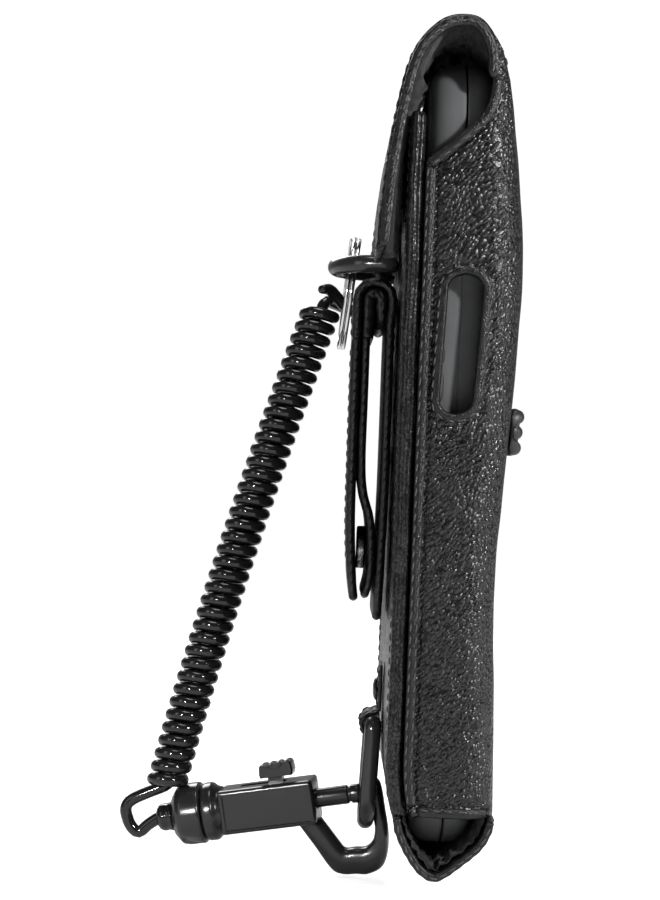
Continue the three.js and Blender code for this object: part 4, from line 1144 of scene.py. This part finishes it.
def ply(name, run, near, far, step=0.55, tip=False, start_tip=False, columns=64, wave=0.1, relief=0.1):
    """A strip of leather ply: run is one face's side view, near to far are its limits to the run's left."""
    rows = max(10, int(run_length(run) / step))
    run = spaced(run, rows)
    left = left_of(run)
    length = np.linspace(0, run_length(run), rows)
    half = STRAP_HALF + wave * np.cos(2 * math.pi * length / STITCH_PITCH)
    for wanted, distance in ((tip, length[-1] - length), (start_tip, length)):
        if wanted:
            turn = np.clip(8 - distance, 0, 8)
            half = half - (8 - np.sqrt(np.clip(64 - turn ** 2, 0, None))) * 0.75
    spread = np.linspace(-1, 1, columns)
    y = half[:, None] * spread[None, :]
    flat = np.stack([run[:, None, 0] + 0 * y, y, run[:, None, 1] + 0 * y], axis=-1)
    normal = np.stack([left[:, 0], np.zeros(rows), left[:, 1]], axis=1)[:, None]
    fill = edge_round(columns, 2 * STRAP_HALF / columns, 1.0)[None, :] * edge_round(
        rows, step, 1.1, first=start_tip, last=tip)[:, None]
    edge = STRAP_HALF - np.abs(y)
    soft = relief * grain_noise(flat, 7.0, 5.0) + 0.04 * grain_noise(flat, 2.0, 9.0)
    dip = 0.2 * np.exp(-((edge - 2.3) / 0.45) ** 2)
    middle = flat + normal * (near + far) / 2
    half_thick = (far - near) / 2 * fill
    outer = middle - normal * (half_thick - dip + soft * fill)[..., None]
    inner = middle + normal * (half_thick - dip * 0.5)[..., None]
    return shell(name, outer, inner, SMOOTH), run, left


def strap_edge_stitches(name, run, left, offset, body, keep=slice(3, -3)):
    """Thread along the near and far edges of one ply, midway through its thickness."""
    made = []
    for side, word in ((-1, "near"), (1, "far")):
        middle = run + left * offset
        path = np.stack([middle[:, 0], np.full(len(run), side * (STRAP_HALF + 0.02)), middle[:, 1]], axis=1)[keep]
        made.append(stitches(f"{name}_{word}", path, (0, side, 0), body, pitch=2.2, sunk=0.5))
    return made


def strap_face_stitches(name, run, left, lift, body, keep=slice(4, -4)):
    made = []
    for side, word in ((-1, "near"), (1, "far")):
        face = run + left * lift
        path = np.stack([face[:, 0], np.full(len(run), side * (STRAP_HALF - 2.3)), face[:, 1]], axis=1)[keep]
        out = np.stack([-left[:, 0], np.zeros(len(run)), -left[:, 1]], axis=1)[keep]
        made.append(stitches(f"{name}_{word}", path, out, body))
    return made


def strap_blend(*pieces):
    for made in pieces:
        stands_for(made, "smooth_leather")
        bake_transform(made)


def build_strap():
    over = arc(FOLD_DEPTH, FOLD_HEIGHT, FOLD_RADIUS, 4, 180, 40)
    fold = np.vstack([smooth_curve(INNER_LEG, 120), over, [(-10.2, 116), (-10.2, STRAP_SPLIT)]])
    made, run, left = ply("belt_strap_fold_leather", fold, 0, PLY, start_tip=True)
    fit(made, "root", "smooth_leather", "belt_strap_fold")
    upper = slice(int(len(run) * 0.62), -3)
    strap_edge_stitches("strap_fold_edge_stitches", run, left, 1.0, "root", slice(8, -3))
    strap_face_stitches("strap_fold_stitches", run, left, 0.12, "root", upper)

    radius = FOLD_RADIUS - PLY - 0.2
    inside = np.vstack([[(FOLD_DEPTH + radius, 114.2)], arc(FOLD_DEPTH, FOLD_HEIGHT, radius, 0, 180, 30),
                        [(-8.0, 116.5), (-8.0, STRAP_SPLIT)]])
    made, run, left = ply("belt_strap_fold_lining_leather", inside, 0, PLY + 0.48, start_tip=True, relief=0.04)
    fit(made, "root", "smooth_leather", "belt_strap_fold_lining")
    strap_edge_stitches("strap_lining_edge_stitches", run, left, 0.9, "root")

    leg = smooth_curve(OUTER_LEG, 160)
    made, run, left = ply("belt_strap_outer_leather", leg, 0, PLY, tip=True)
    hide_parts("belt_strap_outer_ply")
    pieces = [made] + strap_edge_stitches("strap_leg_edge_stitches", run, left, 1.0, None, slice(1, -4))
    pieces += strap_face_stitches("strap_leg_stitches", run, left, 0.12, None, slice(1, -14))
    inner = smooth_curve(INNER_PLY, 160)
    made, run, left = ply("belt_strap_inner_leather", inner, -PLY + 0.2, 0, tip=True)
    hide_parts("belt_strap_inner_ply")
    pieces.append(made)
    pieces += strap_edge_stitches("strap_inner_edge_stitches", run, left, -0.9, None, slice(1, -4))
    strap_blend(*pieces)


build_device()
build_keys()
build_flap()
soft_patch("flap_hook_pad", "flap_hook_patch", "flap", 1)
soft_patch("panel_loop_pad", "panel_loop_patch", "root", -1)
build_strap()


# ---- Rings, and the leather that holds them -----------------------------------------------------------
UPPER_RING_DEPTH, UPPER_RING_HEIGHT = -2.35, 129.2
LOWER_RING_DEPTH, LOWER_RING_HEIGHT, APEX_DEPTH, APEX_HEIGHT = -2.15, 26.5, -2.95, 4.2
UPPER_ROD, LOWER_ROD = 2.0, 1.85
SPLIT_CENTRE, SPLIT_RADIUS, SPLIT_WIRE, SPLIT_PITCH = (-11.25, 9.0, 124.0), 12.6, 0.47, 1.0
SPLIT_LEAN = 5.5
KEEPER_LEATHER = 0.8


def turn_about_y(degrees):
    a = math.radians(degrees)
    return np.array([[math.cos(a), 0, math.sin(a)], [0, 1, 0], [-math.sin(a), 0, math.cos(a)]])


def turn_about_z(degrees):
    a = math.radians(degrees)
    return np.array([[math.cos(a), -math.sin(a), 0], [math.sin(a), math.cos(a), 0], [0, 0, 1]])


def ring_path(half_width, reach, straight, count=110):
    """A D-shaped loop in its own plane: a bar along Y at x = 0 and a bow out to x = -reach."""
    bow = arc(0, 0, 1, 90, 270, 9) * [reach - straight, half_width] - [straight, 0]
    corner = 0.86 * half_width
    corners = np.vstack([bow, [(-0.7, -half_width), (0, -corner), (0, 0), (0, corner), (-0.7, half_width)]])
    flat = smooth_curve(corners, count, closed=True)
    return np.stack([flat[:, 0], flat[:, 1], np.zeros(count)], axis=1)


def build_rings():
    path = ring_path(11.6, 11.85, 2.0) + [UPPER_RING_DEPTH, 0, UPPER_RING_HEIGHT]
    made = sweep("upper_ring", path, ring_section(UPPER_ROD, 20), RING_BLACK, (0, 0, 1), closed=True)
    fit(made, "upper_ring", "black_metal", "upper_d_ring")
    drop = LOWER_RING_HEIGHT - APEX_HEIGHT
    tilt = math.degrees(math.atan((LOWER_RING_DEPTH - APEX_DEPTH) / drop))
    path = ring_path(8.0, drop, drop - 8.0) @ turn_about_y(-90 + tilt).T
    made = sweep("lower_ring", path + [LOWER_RING_DEPTH, 0, LOWER_RING_HEIGHT], ring_section(LOWER_ROD, 20),
                 RING_BLACK, (1, 0, 0.05), closed=True)
    fit(made, "lower_ring", "black_metal", "lower_d_ring")


def keeper_run(depth, height, rod, tail_top):
    """The keeper's outer face from the top of its tail down, over the bar and round under it to the panel."""
    outer = rod + 0.22 + KEEPER_LEATHER
    face = -0.35 - KEEPER_LEATHER
    over = arc(depth, height, outer, 84, 292, 9)
    return smooth_curve([(face, tail_top), (face, height + outer + 1.6), (face - 0.12, height + outer + 0.6),
                         *[tuple(p) for p in over], (-0.9, height - outer + 0.45)], 90)


def leather_strip(name, run, half, thick, body, node, wave=0.05):
    """A narrow strap of leather with rounded edges: run is its outer face, and it is thick to the run's left."""
    left = left_of(run)
    rows = len(run)
    step = run_length(run) / rows
    length = np.arange(rows) * step
    y = (half - wave + wave * np.cos(2 * math.pi * length / 2.3))[:, None] * np.linspace(-1, 1, 40)[None, :]
    flat = np.stack([run[:, None, 0] + 0 * y, y, run[:, None, 1] + 0 * y], axis=-1)
    normal = np.stack([left[:, 0], np.zeros(rows), left[:, 1]], axis=1)[:, None]
    fill = edge_round(40, 2 * half / 40, 0.45)[None, :] * edge_round(rows, step, 0.5)[:, None]
    dip = 0.12 * np.exp(-((half - np.abs(y) - 1.3) / 0.35) ** 2)
    middle = flat + normal * thick / 2
    outer = middle - normal * (thick / 2 * fill - dip)[..., None]
    inner = middle + normal * (thick / 2 * fill)[..., None]
    fit(shell(name, outer, inner, SMOOTH), body, "smooth_leather", node)
    for side, word in ((-1, "near"), (1, "far")):
        path = np.stack([run[:, 0], np.full(rows, side * (half - 1.3)), run[:, 1]], axis=1)[4:-4]
        out = np.stack([-left[:, 0], np.zeros(rows), -left[:, 1]], axis=1)[4:-4]
        stitches(f"{name}_stitches_{word}", path, out, body, pitch=2.0)


def build_keepers():
    run = keeper_run(UPPER_RING_DEPTH, UPPER_RING_HEIGHT, UPPER_ROD, 138.5)
    leather_strip("upper_keeper_leather", run, 8.4, KEEPER_LEATHER, "root", "upper_ring_keeper")
    run = keeper_run(LOWER_RING_DEPTH, LOWER_RING_HEIGHT, LOWER_ROD, 40.0)
    leather_strip("lower_tab_leather", run, 5.2, KEEPER_LEATHER, "root", "lower_ring_tab")
    head = [(-2.4, 0.1), (-2.34, 1.2), (-2.05, 2.2), (-1.66, 2.6), (-1.4, 2.45), (-1.4, 1.1), (-0.4, 1.1), (-0.4, 0.1)]
    turned("tab_rivet_head", head, RING_BLACK, "root", "black_metal", "tab_rivet", place=lambda p: p + [0, 0, 34.0])


def build_split_ring():
    """Two strands of round wire side by side, with the wire's ends tapered where they lie against the ring."""
    count = 200
    t = np.linspace(0, 1, count)
    angle = 4 * math.pi * t
    path = np.stack([SPLIT_PITCH * (2 * t - 1), SPLIT_RADIUS * np.sin(angle), SPLIT_RADIUS * np.cos(angle)], axis=1)
    path = path @ turn_about_y(SPLIT_LEAN).T + np.array(SPLIT_CENTRE)
    ends = np.minimum(np.arange(count), np.arange(count)[::-1]) / 5
    made = sweep("split_ring_wire", path, rounded_section(SPLIT_WIRE, SPLIT_WIRE, 2.4, 12), CHROME, (1, 0, -0.1),
                 scale=np.clip(0.55 + 0.45 * ends, 0, 1))
    fit(made, "split_ring", "chrome_steel", "split_ring")


# ---- The hook assembly, in a frame of its own whose X axis is the plunger's ---------------------------
HOOK_PLACE, HOOK_PITCH, HOOK_YAW = (-24.7, 3.3, 6.4), -10.5, -8.0
HOOK_TURN = turn_about_z(HOOK_YAW) @ turn_about_y(HOOK_PITCH)
BLOCK_HALF_LENGTH, BLOCK_HALF_WIDTH, BLOCK_LOW, BLOCK_HIGH = 10.9, 5.5, -5.2, 4.9
CAP_LEFT, CAP_RIGHT, CAP_RADIUS = -22.3, -15.3, 7.0
ARM_OUTER = [(5.6, -4.6), (8.9, -10.4), (12.1, -16.2), (14.6, -17.7), (17.5, -18.0), (20.5, -18.3),
             (24.1, -16.6), (26, -11), (26.1, -4), (25.9, 1.5), (24.6, 3.6)]
ARM_INNER = [(11.4, -4.6), (13.0, -7.4), (14.6, -10.2), (15.8, -11.9), (18.0, -12.0), (20.6, -12.1),
             (22.5, -10.6), (23.3, -7.5), (22.8, -2.6), (22.1, 0.8), (22.8, 3.2)]


def in_hook(points):
    return np.asarray(points, float) @ HOOK_TURN.T + np.array(HOOK_PLACE)


def softened(profile, radius=0.35, steps=4):
    """A profile whose corners are cut back by up to radius and rounded."""
    p = np.array(profile, float)
    out = [p[0]]
    for a, b, c in zip(p, p[1:], p[2:]):
        back = min(radius, np.linalg.norm(a - b) * 0.45, np.linalg.norm(c - b) * 0.45)
        start, end = b + unit(a - b) * back, b + unit(c - b) * back
        for t in np.linspace(0, 1, steps):
            out.append((1 - t) ** 2 * start + 2 * t * (1 - t) * b + t ** 2 * end)
    return np.array(out + [p[-1]])


def lathe_rings(profile, sides=48, flute=None):
    angle = np.linspace(0, 2 * np.pi, sides, endpoint=False)
    rings = []
    for x, r in profile:
        reach = np.full(sides, r) if flute is None else r + flute(x, angle)
        rings.append(np.stack([np.full(sides, x), reach * np.cos(angle), reach * np.sin(angle)], axis=1))
    return np.array(rings)


def turned(name, profile, material, body, slot, *nodes, place=in_hook, closed=False, radius=0.35, flute=None):
    """A turned piece from an (x, radius) profile; a closed profile leaves a hole along the axis."""
    if closed:
        whole = softened(list(profile) + [profile[0], profile[1]], radius)[4:-1]
    else:
        whole = softened(profile, radius)
    rings = lathe_rings(whole, flute=flute)
    return fit(loft(name, place(rings), material, closed), body, slot, *nodes)


def fused(name, whole, tools, material):
    """whole, with each (operation, tool) applied in turn as an exact boolean."""
    for operation, tool in tools:
        cutter = whole.modifiers.new(operation.lower(), "BOOLEAN")
        cutter.operation = operation
        cutter.solver = "EXACT"
        cutter.object = tool
    graph = bpy.context.evaluated_depsgraph_get()
    mesh = bpy.data.meshes.new_from_object(whole.evaluated_get(graph))
    for unused in [whole] + [tool for _, tool in tools]:
        bpy.data.objects.remove(unused)
    mesh.materials.clear()
    mesh.materials.append(material)
    made = bpy.data.objects.new(name, mesh)
    bpy.context.scene.collection.objects.link(made)
    return made


def sharpen(made, degrees=38):
    """Smooth shading that breaks at sharp edges."""
    mesh = made.data
    mesh.polygons.foreach_set("use_smooth", [True] * len(mesh.polygons))
    mesh.set_sharp_from_angle(angle=math.radians(degrees))
    return made


def matched_curves(first, second, per_gap=7):
    """Two lists of points, smoothed so that their stations stay paired."""
    both = np.hstack([np.array(first, float), np.array(second, float)])
    padded = np.vstack([2 * both[0] - both[1], both, 2 * both[-1] - both[-2]])
    steps = np.linspace(0, 1, per_gap, endpoint=False)[:, None]
    pieces = []
    for a, b, c, d in zip(padded, padded[1:], padded[2:], padded[3:]):
        pieces.append(0.5 * (2 * b + (c - a) * steps + (2 * a - 5 * b + 4 * c - d) * steps ** 2
                             + (3 * b - a - 3 * c + d) * steps ** 3))
    out = np.vstack(pieces + [both[-1][None]])
    return out[:, :2], out[:, 2:]


def arm_loft():
    outer, inner = matched_curves(ARM_OUTER, ARM_INNER)
    count = len(outer)
    rings = []
    section = rounded_section(1, 1, 3.0, 28)
    for i, (o, n) in enumerate(zip(outer, inner)):
        left = count - 1 - i
        size = math.sqrt(max(0.06, 1 - max(0.0, 1 - left / 6) ** 2))
        middle, half = (o + n) / 2, (o - n) / 2 * size
        rings.append([(middle[0] + half[0] * a, 2.5 * (0.3 + 0.7 * size) * b, middle[1] + half[1] * a)
                      for a, b in section])
    return loft("hook_arm", in_hook(np.array(rings)), HOOK_PLASTIC)


def block_loft():
    """The hook's square barrel: softly rounded edges and a shallow sunk panel on its two sides."""
    x = np.concatenate([np.linspace(-1, -0.86, 9), np.linspace(-0.84, 0.84, 16), np.linspace(0.86, 1, 9)])
    middle, half_z = (BLOCK_LOW + BLOCK_HIGH) / 2, (BLOCK_HIGH - BLOCK_LOW) / 2
    rings = []
    for share in x * BLOCK_HALF_LENGTH:
        from_end = BLOCK_HALF_LENGTH - abs(share)
        size = 1 - 0.09 * (1 - min(1.0, from_end / 0.55)) ** 2
        ring = rounded_section(BLOCK_HALF_WIDTH * size, half_z * size, 11.0, 72)
        sunk = smoothstep(from_end, 0.9, 1.25)
        for y, z in ring:
            inset = 0.28 * sunk * smoothstep(half_z - abs(z), 0.85, 1.15) if abs(y) > 4 else 0.0
            rings.append((share, y - math.copysign(inset, y), z + middle))
    return loft("hook_block", in_hook(np.array(rings).reshape(len(x), 72, 3)), HOOK_PLASTIC)


def rod_tool(radius, x0, x1, sides=40):
    return loft("bore", in_hook(lathe_rings([(x0, radius), (x1, radius)], sides)), HOOK_PLASTIC)


def box_tool(x0, x1, y0, y1, z0, z1):
    square = [(y0, z0), (y1, z0), (y1, z1), (y0, z1)]
    return loft("slot", in_hook(np.array([[(x, y, z) for y, z in square] for x in (x0, x1)])), HOOK_PLASTIC)


def build_hook_body():
    collar = softened([(-15, 0.1), (-15, 6.2), (-14.5, 6.6), (-12.6, 6.6), (-11.6, 5.7), (-10.2, 5.2), (-10.2, 0.1)])
    collar = loft("collar", in_hook(lathe_rings(collar, 56)), HOOK_PLASTIC)
    tools = [("UNION", collar), ("UNION", arm_loft()), ("DIFFERENCE", rod_tool(2.45, -9.3, 14)),
             ("DIFFERENCE", box_tool(-6, 4.6, -1.6, 1.6, 0, 8)), ("DIFFERENCE", rod_tool(1.65, -16, -12))]
    made = sharpen(fused("hook_barrel_and_arm", block_loft(), tools, HOOK_PLASTIC))
    fit(made, "hook", "hook_plastic", "hook_body")


def knob_loft():
    """The thumb button's ribbed head: four rounded ribs across its top, each side softened."""
    ribs = [arc(-0.1 + i * 1.9, 8.35 + i * 0.12, 0.98, 165, 15, 9) for i in range(4)]
    outline = np.vstack([[(-1.0, 6.2), (-1.2, 7.0)], *ribs, [(6.75, 7.2), (6.4, 6.2)]])
    outline = spaced(np.vstack([outline, outline[:1]]), 90, closed=True)
    middle = outline.mean(0)
    rings = []
    for share in np.concatenate([np.linspace(-1, -0.72, 7), np.linspace(0.72, 1, 7)]):
        size = math.sqrt(1 - max(0.0, (abs(share) - 0.72) / 0.28) ** 2 * 0.5)
        flat = middle + (outline - middle) * (0.72 + 0.28 * size)
        rings.append([(x, 2.8 * share, z) for x, z in flat])
    return loft("knob_head", in_hook(np.array(rings)), HOOK_PLASTIC)


def build_hook_fittings():
    stem = box_tool(0.6, 3.9, -1.3, 1.3, 2.3, 6.7)
    made = sharpen(fused("thumb_button", knob_loft(), [("UNION", stem)], HOOK_PLASTIC))
    fit(made, "plunger_unit", "hook_plastic", "thumb_knob")
    tip = 21.3
    rod = [(0.3, 0.05), (0.3, 2.15), (tip - 3.1, 2.15), (tip - 2.95, 1.75), (tip - 2.45, 1.75), (tip - 2.3, 2.15),
           (tip - 0.5, 2.15), (tip, 1.6), (tip, 0.05)]
    turned("plunger_rod", rod, HOOK_PLASTIC, "plunger_unit", "hook_plastic", "plunger", radius=0.2)
    t = np.linspace(0, 1, 240)
    angle = 2 * math.pi * 7 * t
    fixed_end, spring_length, travel = -8.65, 8.6, 6.0
    coil = np.stack([fixed_end + spring_length * t, 1.65 * np.cos(angle), 1.65 * np.sin(angle)], axis=1)
    spring = sweep("plunger_return_spring", in_hook(coil), ring_section(0.25, 8), STEEL, HOOK_TURN[:, 0])
    fit(spring, "hook", "plain_steel", "plunger_spring")
    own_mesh(spring)
    cap = [(CAP_LEFT, 1.75), (CAP_LEFT, 4.5), (CAP_LEFT + 1.5, CAP_RADIUS - 0.5), (CAP_LEFT + 2.5, CAP_RADIUS),
           (CAP_RIGHT - 0.4, CAP_RADIUS), (CAP_RIGHT, CAP_RADIUS - 0.4), (CAP_RIGHT, 1.65), (CAP_RIGHT - 1.7, 1.65),
           (CAP_RIGHT - 1.7, 4.4), (CAP_LEFT + 1.7, 4.4), (CAP_LEFT + 1.7, 1.75)]
    turned("swivel_cap_cup", cap, HOOK_PLASTIC, "lanyard", "hook_plastic", "swivel_cap", closed=True, flute=cap_flute)
    head = CAP_RIGHT - 1.9
    pin = [(head - 1.3, 0.1), (head - 1.3, 3.0), (head, 3.0), (head, 1.4), (-12.3, 1.4), (-12.3, 0.1)]
    turned("swivel_pin_shaft", pin, STEEL, "hook", "plain_steel", "swivel_pin")
    rear, front = CAP_LEFT - 4.1, CAP_LEFT - 0.3
    boot = [(rear, 1.65), (rear + 0.2, 2.5), (rear + 1.4, 3.2), (front - 1.2, 3.0), (front, 3.5), (front, 1.65)]
    turned("cord_boot_sleeve", boot, CORD_PLASTIC, "lanyard", "cord_plastic", "cord_boot", closed=True, radius=0.5)
    rear = CAP_LEFT + 2.1
    stop = [(rear, 1.65), (rear, 2.9), (rear + 1.1, 2.9), (rear + 1.1, 1.65)]
    turned("cord_stop_washer", stop, STEEL, "lanyard", "plain_steel", "cord_stop", closed=True, radius=0.2)


def cap_flute(x, angle):
    """A shallow grip notch low on the cup's near side, and a ring groove near its open end."""
    notch = smoothstep(x, CAP_LEFT + 1.9, CAP_LEFT + 2.5) * (1 - smoothstep(x, CAP_LEFT + 4.4, CAP_LEFT + 5.0))
    side = np.cos(angle - math.radians(243)) - math.cos(math.radians(24))
    return -0.9 * notch * smoothstep(side, 0.0, 0.06)


# ---- The coiled cord ------------------------------------------------------------------------------------
CORD, COIL_RADIUS, COIL_TURNS = 1.38, 3.4, 38
COIL_TOP, COIL_BOW, COIL_BOTTOM = (-17.3, 15.5, 120.5), (-35.6, 9.5, 65.1), (-48.6, 3.6, 9.6)
UPPER_LOOP = [(-17.6, 12.8, 125), (-15.6, 15.2, 125.2), (-13.6, 17.2, 123.4), (-11.6, 18.4, 121.4),
              (-9, 21.2, 120.2), (-9.5, 24, 120.8), (-12.5, 24.3, 121.9), (-15, 22, 122.6), (-16.6, 19.9, 122.6)]
IN_CAP = [(-32.4, -0.4, 4.6), (-33.4, -0.4, 0.6), (-31.6, -0.2, -2.6), (-28.8, 0, -1.2), (-26, 0, 0),
          (-23, 0, 0), (-19, 0, 0)]


def coil_points():
    a, b, c = (np.array(p) for p in (COIL_TOP, COIL_BOW, COIL_BOTTOM))
    t = np.linspace(0, 1, COIL_TURNS * 18 + 1)[:, None]
    spine = (1 - t) ** 2 * a + 2 * t * (1 - t) * b + t ** 2 * c
    along = unit(2 * (1 - t) * (b - a) + 2 * t * (c - b))
    side = unit(np.cross(np.array([0.0, 1, 0]), along))
    width = np.cross(along, side)
    angle = 2 * math.pi * COIL_TURNS * t + math.pi / 2
    return spine + COIL_RADIUS * (side * np.cos(angle) + width * np.sin(angle))


def build_cord():
    """The cord: its free end, the loop through the split ring, the coil, the lower loop and the end in the cap."""
    coil = coil_points()
    upper = smooth_curve(np.vstack([UPPER_LOOP, coil[:3]]), 150)[:-4]
    lower = smooth_curve(np.vstack([coil[-3:], in_hook(IN_CAP)]), 130)[4:]
    path = np.vstack([upper, coil[3:-3], lower])
    path = spaced(path, 1150)
    frames = parallel_frames(path)
    ends = np.minimum(np.arange(len(path)), 4) / 4
    made = sweep("coiled_cord", path, ring_section(CORD, 12), CORD_PLASTIC, frames, scale=0.7 + 0.3 * ends)
    fit(made, "lanyard", "cord_plastic", "coil_cord")


def parallel_frames(path):
    """A sideways direction for each point that never twists round the path."""
    along = unit(np.gradient(path, axis=0))
    first = np.zeros_like(path)
    first[0] = unit(np.cross(along[0], [0.3, 0.2, 1.0]))
    for i in range(1, len(path)):
        first[i] = unit(first[i - 1] - along[i] * (first[i - 1] @ along[i]))
    return first


# ---- Hidden layers and the snap -------------------------------------------------------------------------
def build_snap():
    at = lambda p: p + [0, 0, 66.0]
    stud = [(-3.45, 0.1), (-3.45, 4.5), (-3.62, 4.5), (-3.8, 4.2), (-3.9, 1.9), (-4.3, 1.5), (-6.3, 1.5), (-6.55, 1.2),
            (-6.6, 0.1)]
    turned("snap_stud_post", stud, STEEL, "root", "plain_steel", "snap_stud", place=at, radius=0.15)
    socket = [(-7.35, 0.1), (-7.35, 4.5), (-7.1, 4.8), (-5.6, 4.8), (-5.3, 4.4), (-5.3, 2.5), (-5.6, 2.1),
              (-6.95, 2.1), (-6.95, 0.1)]
    turned("snap_socket_cup", socket, STEEL, "strap_leg", "plain_steel", "snap_socket", place=at, radius=0.15)


def soft_sheet(name, run, near, far, half, body, slot, node, material, lump=0.08, rows=120, columns=90):
    """A thin, slightly puckered lining that follows run, from near to far millimetres to its left."""
    run = spaced(np.array(run, float), rows)
    left = left_of(run)
    y = np.linspace(-half, half, columns)[None, :] + np.zeros((rows, 1))
    flat = np.stack([run[:, None, 0] + 0 * y, y, run[:, None, 1] + 0 * y], axis=-1)
    normal = np.stack([left[:, 0], np.zeros(rows), left[:, 1]], axis=1)[:, None]
    pucker = lump * grain_noise(flat, 6.0, 31.0, 3)
    middle = flat + normal * (near + far) / 2
    fill = edge_round(columns, 2 * half / columns, 0.5)[None, :] * edge_round(rows, run_length(run) / rows, 0.5)[:, None]
    outer = middle - normal * ((far - near) / 2 * fill - pucker)[..., None]
    inner = middle + normal * ((far - near) / 2 * fill + pucker)[..., None]
    fit(shell(name, outer, inner, material), body, slot, node)


def build_linings():
    heights = np.linspace(WRAP_LOW + 3, 160, 80)
    front = np.stack([front_depth(heights), heights], axis=1)
    soft_sheet("front_lining_cloth", front, 1.75, 2.2, 36.5, "root", "lining_fabric", "front_lining", LINING)
    back = [(2.5, 24), (2.5, 155)]
    soft_sheet("back_lining_cloth", back, -0.5, 0, 42, "root", "lining_fabric", "back_lining", LINING, lump=0.04)
    board = [(1.7, 26), (1.7, 150)]
    soft_sheet("back_stiffener_board", board, -0.55, 0, 41.5, "root", "stiffener_board", "back_stiffener", BOARD, lump=0)


build_rings()
build_keepers()
build_split_ring()
build_hook_body()
build_hook_fittings()
build_cord()
build_snap()
build_linings()


# ---- Floor, light and camera -----------------------------------------------------------------------
def build_floor():
    """A pale floor that curves up into a pale wall behind the case."""
    floor_height = cad_low.z / MM - LOW / MM - 0.6
    radius, near, far, half = 500.0, -1500.0, 900.0, 2400.0
    run = [(near, 0.0), (far, 0.0)]
    run += [(far + radius * math.sin(a), radius * (1 - math.cos(a))) for a in np.radians(np.arange(10, 91, 10))]
    run.append((far + radius, 2600.0))
    points = [(x, y, floor_height + z) for x in (-half, half) for y, z in run]
    count = len(run)
    faces = [(i, i + 1, count + i + 1, count + i) for i in range(count - 1)]
    look = Look("pale_floor", roughness=0.9, specular=0.05)
    look.colour(look.noise(look.mapped(60.0), 2), (0.3, 0.88), (0.7, 0.92))
    seen = look.add("ShaderNodeLightPath").outputs["Is Camera Ray"]
    look.set("Emission Color", (1, 1, 1, 1))
    look.join(look.between(seen, 0, 1, 0.06, 0.8, smooth=False), look.base.inputs["Emission Strength"])
    floor = solid("floor", points, faces, look.material)


def area_light(name, place, target, size, power, shape="RECTANGLE", size_y=None):
    data = bpy.data.lights.new(name, "AREA")
    data.shape = shape
    data.size = size
    data.size_y = size_y or size
    data.energy = power
    light = bpy.data.objects.new(name, data)
    bpy.context.scene.collection.objects.link(light)
    light.location = place
    light.rotation_euler = (Vector(target) - Vector(place)).to_track_quat("-Z", "Y").to_euler()
    return light


def lights_only(light, *words):
    """Limits a lamp to the pieces whose names start with these words."""
    group = bpy.data.collections.new(f"{light.name}_lit")
    for made in list(bpy.context.scene.collection.all_objects):
        if made.name.startswith(words):
            group.objects.link(made)
    light.light_linking.receiver_collection = group


def build_light():
    world = bpy.data.worlds.new("studio")
    world.use_nodes = True
    background = world.node_tree.nodes["Background"]
    background.inputs["Color"].default_value = (1, 1, 1, 1)
    seen = world.node_tree.nodes.new("ShaderNodeLightPath").outputs["Is Camera Ray"]
    strength = world.node_tree.nodes.new("ShaderNodeMapRange")
    strength.inputs["To Min"].default_value = 0.06
    strength.inputs["To Max"].default_value = 1.0
    world.node_tree.links.new(seen, strength.inputs["Value"])
    world.node_tree.links.new(strength.outputs["Result"], background.inputs["Strength"])
    bpy.context.scene.world = world
    middle = (cad_low + cad_high) / 2
    area_light("key", (0.4, -0.5, 0.26), middle, 0.05, 4.2)
    area_light("side", (0.55, -0.1, 0.02), middle, 0.1, 0.8, size_y=0.5)
    area_light("left", (-0.5, -0.34, 0.12), middle, 0.2, 0.45, size_y=0.4)
    area_light("over", (0.02, -0.06, 0.6), middle, 0.3, 1.6)
    front = area_light("front", (-0.25, -0.53, 0.065), middle, 0.025, 2.6)
    lights_only(front, "hook", "plunger", "swivel", "thumb", "coiled", "cord", "upper_ring", "lower_ring", "split")
    area_light("behind", (-0.25, 0.6, 0.4), middle, 0.3, 2.4)


def build_camera():
    data = bpy.data.cameras.new("camera")
    data.sensor_width = 36
    data.lens = 82
    camera = bpy.data.objects.new("camera", data)
    bpy.context.scene.collection.objects.link(camera)
    camera.location = (-0.0112, -0.465, -0.0073)
    camera.rotation_euler = (math.radians(90), math.radians(-2.2), 0)
    bpy.context.scene.camera = camera


build_floor()
build_light()
build_camera()
bpy.context.scene.view_settings.view_transform = "Standard"
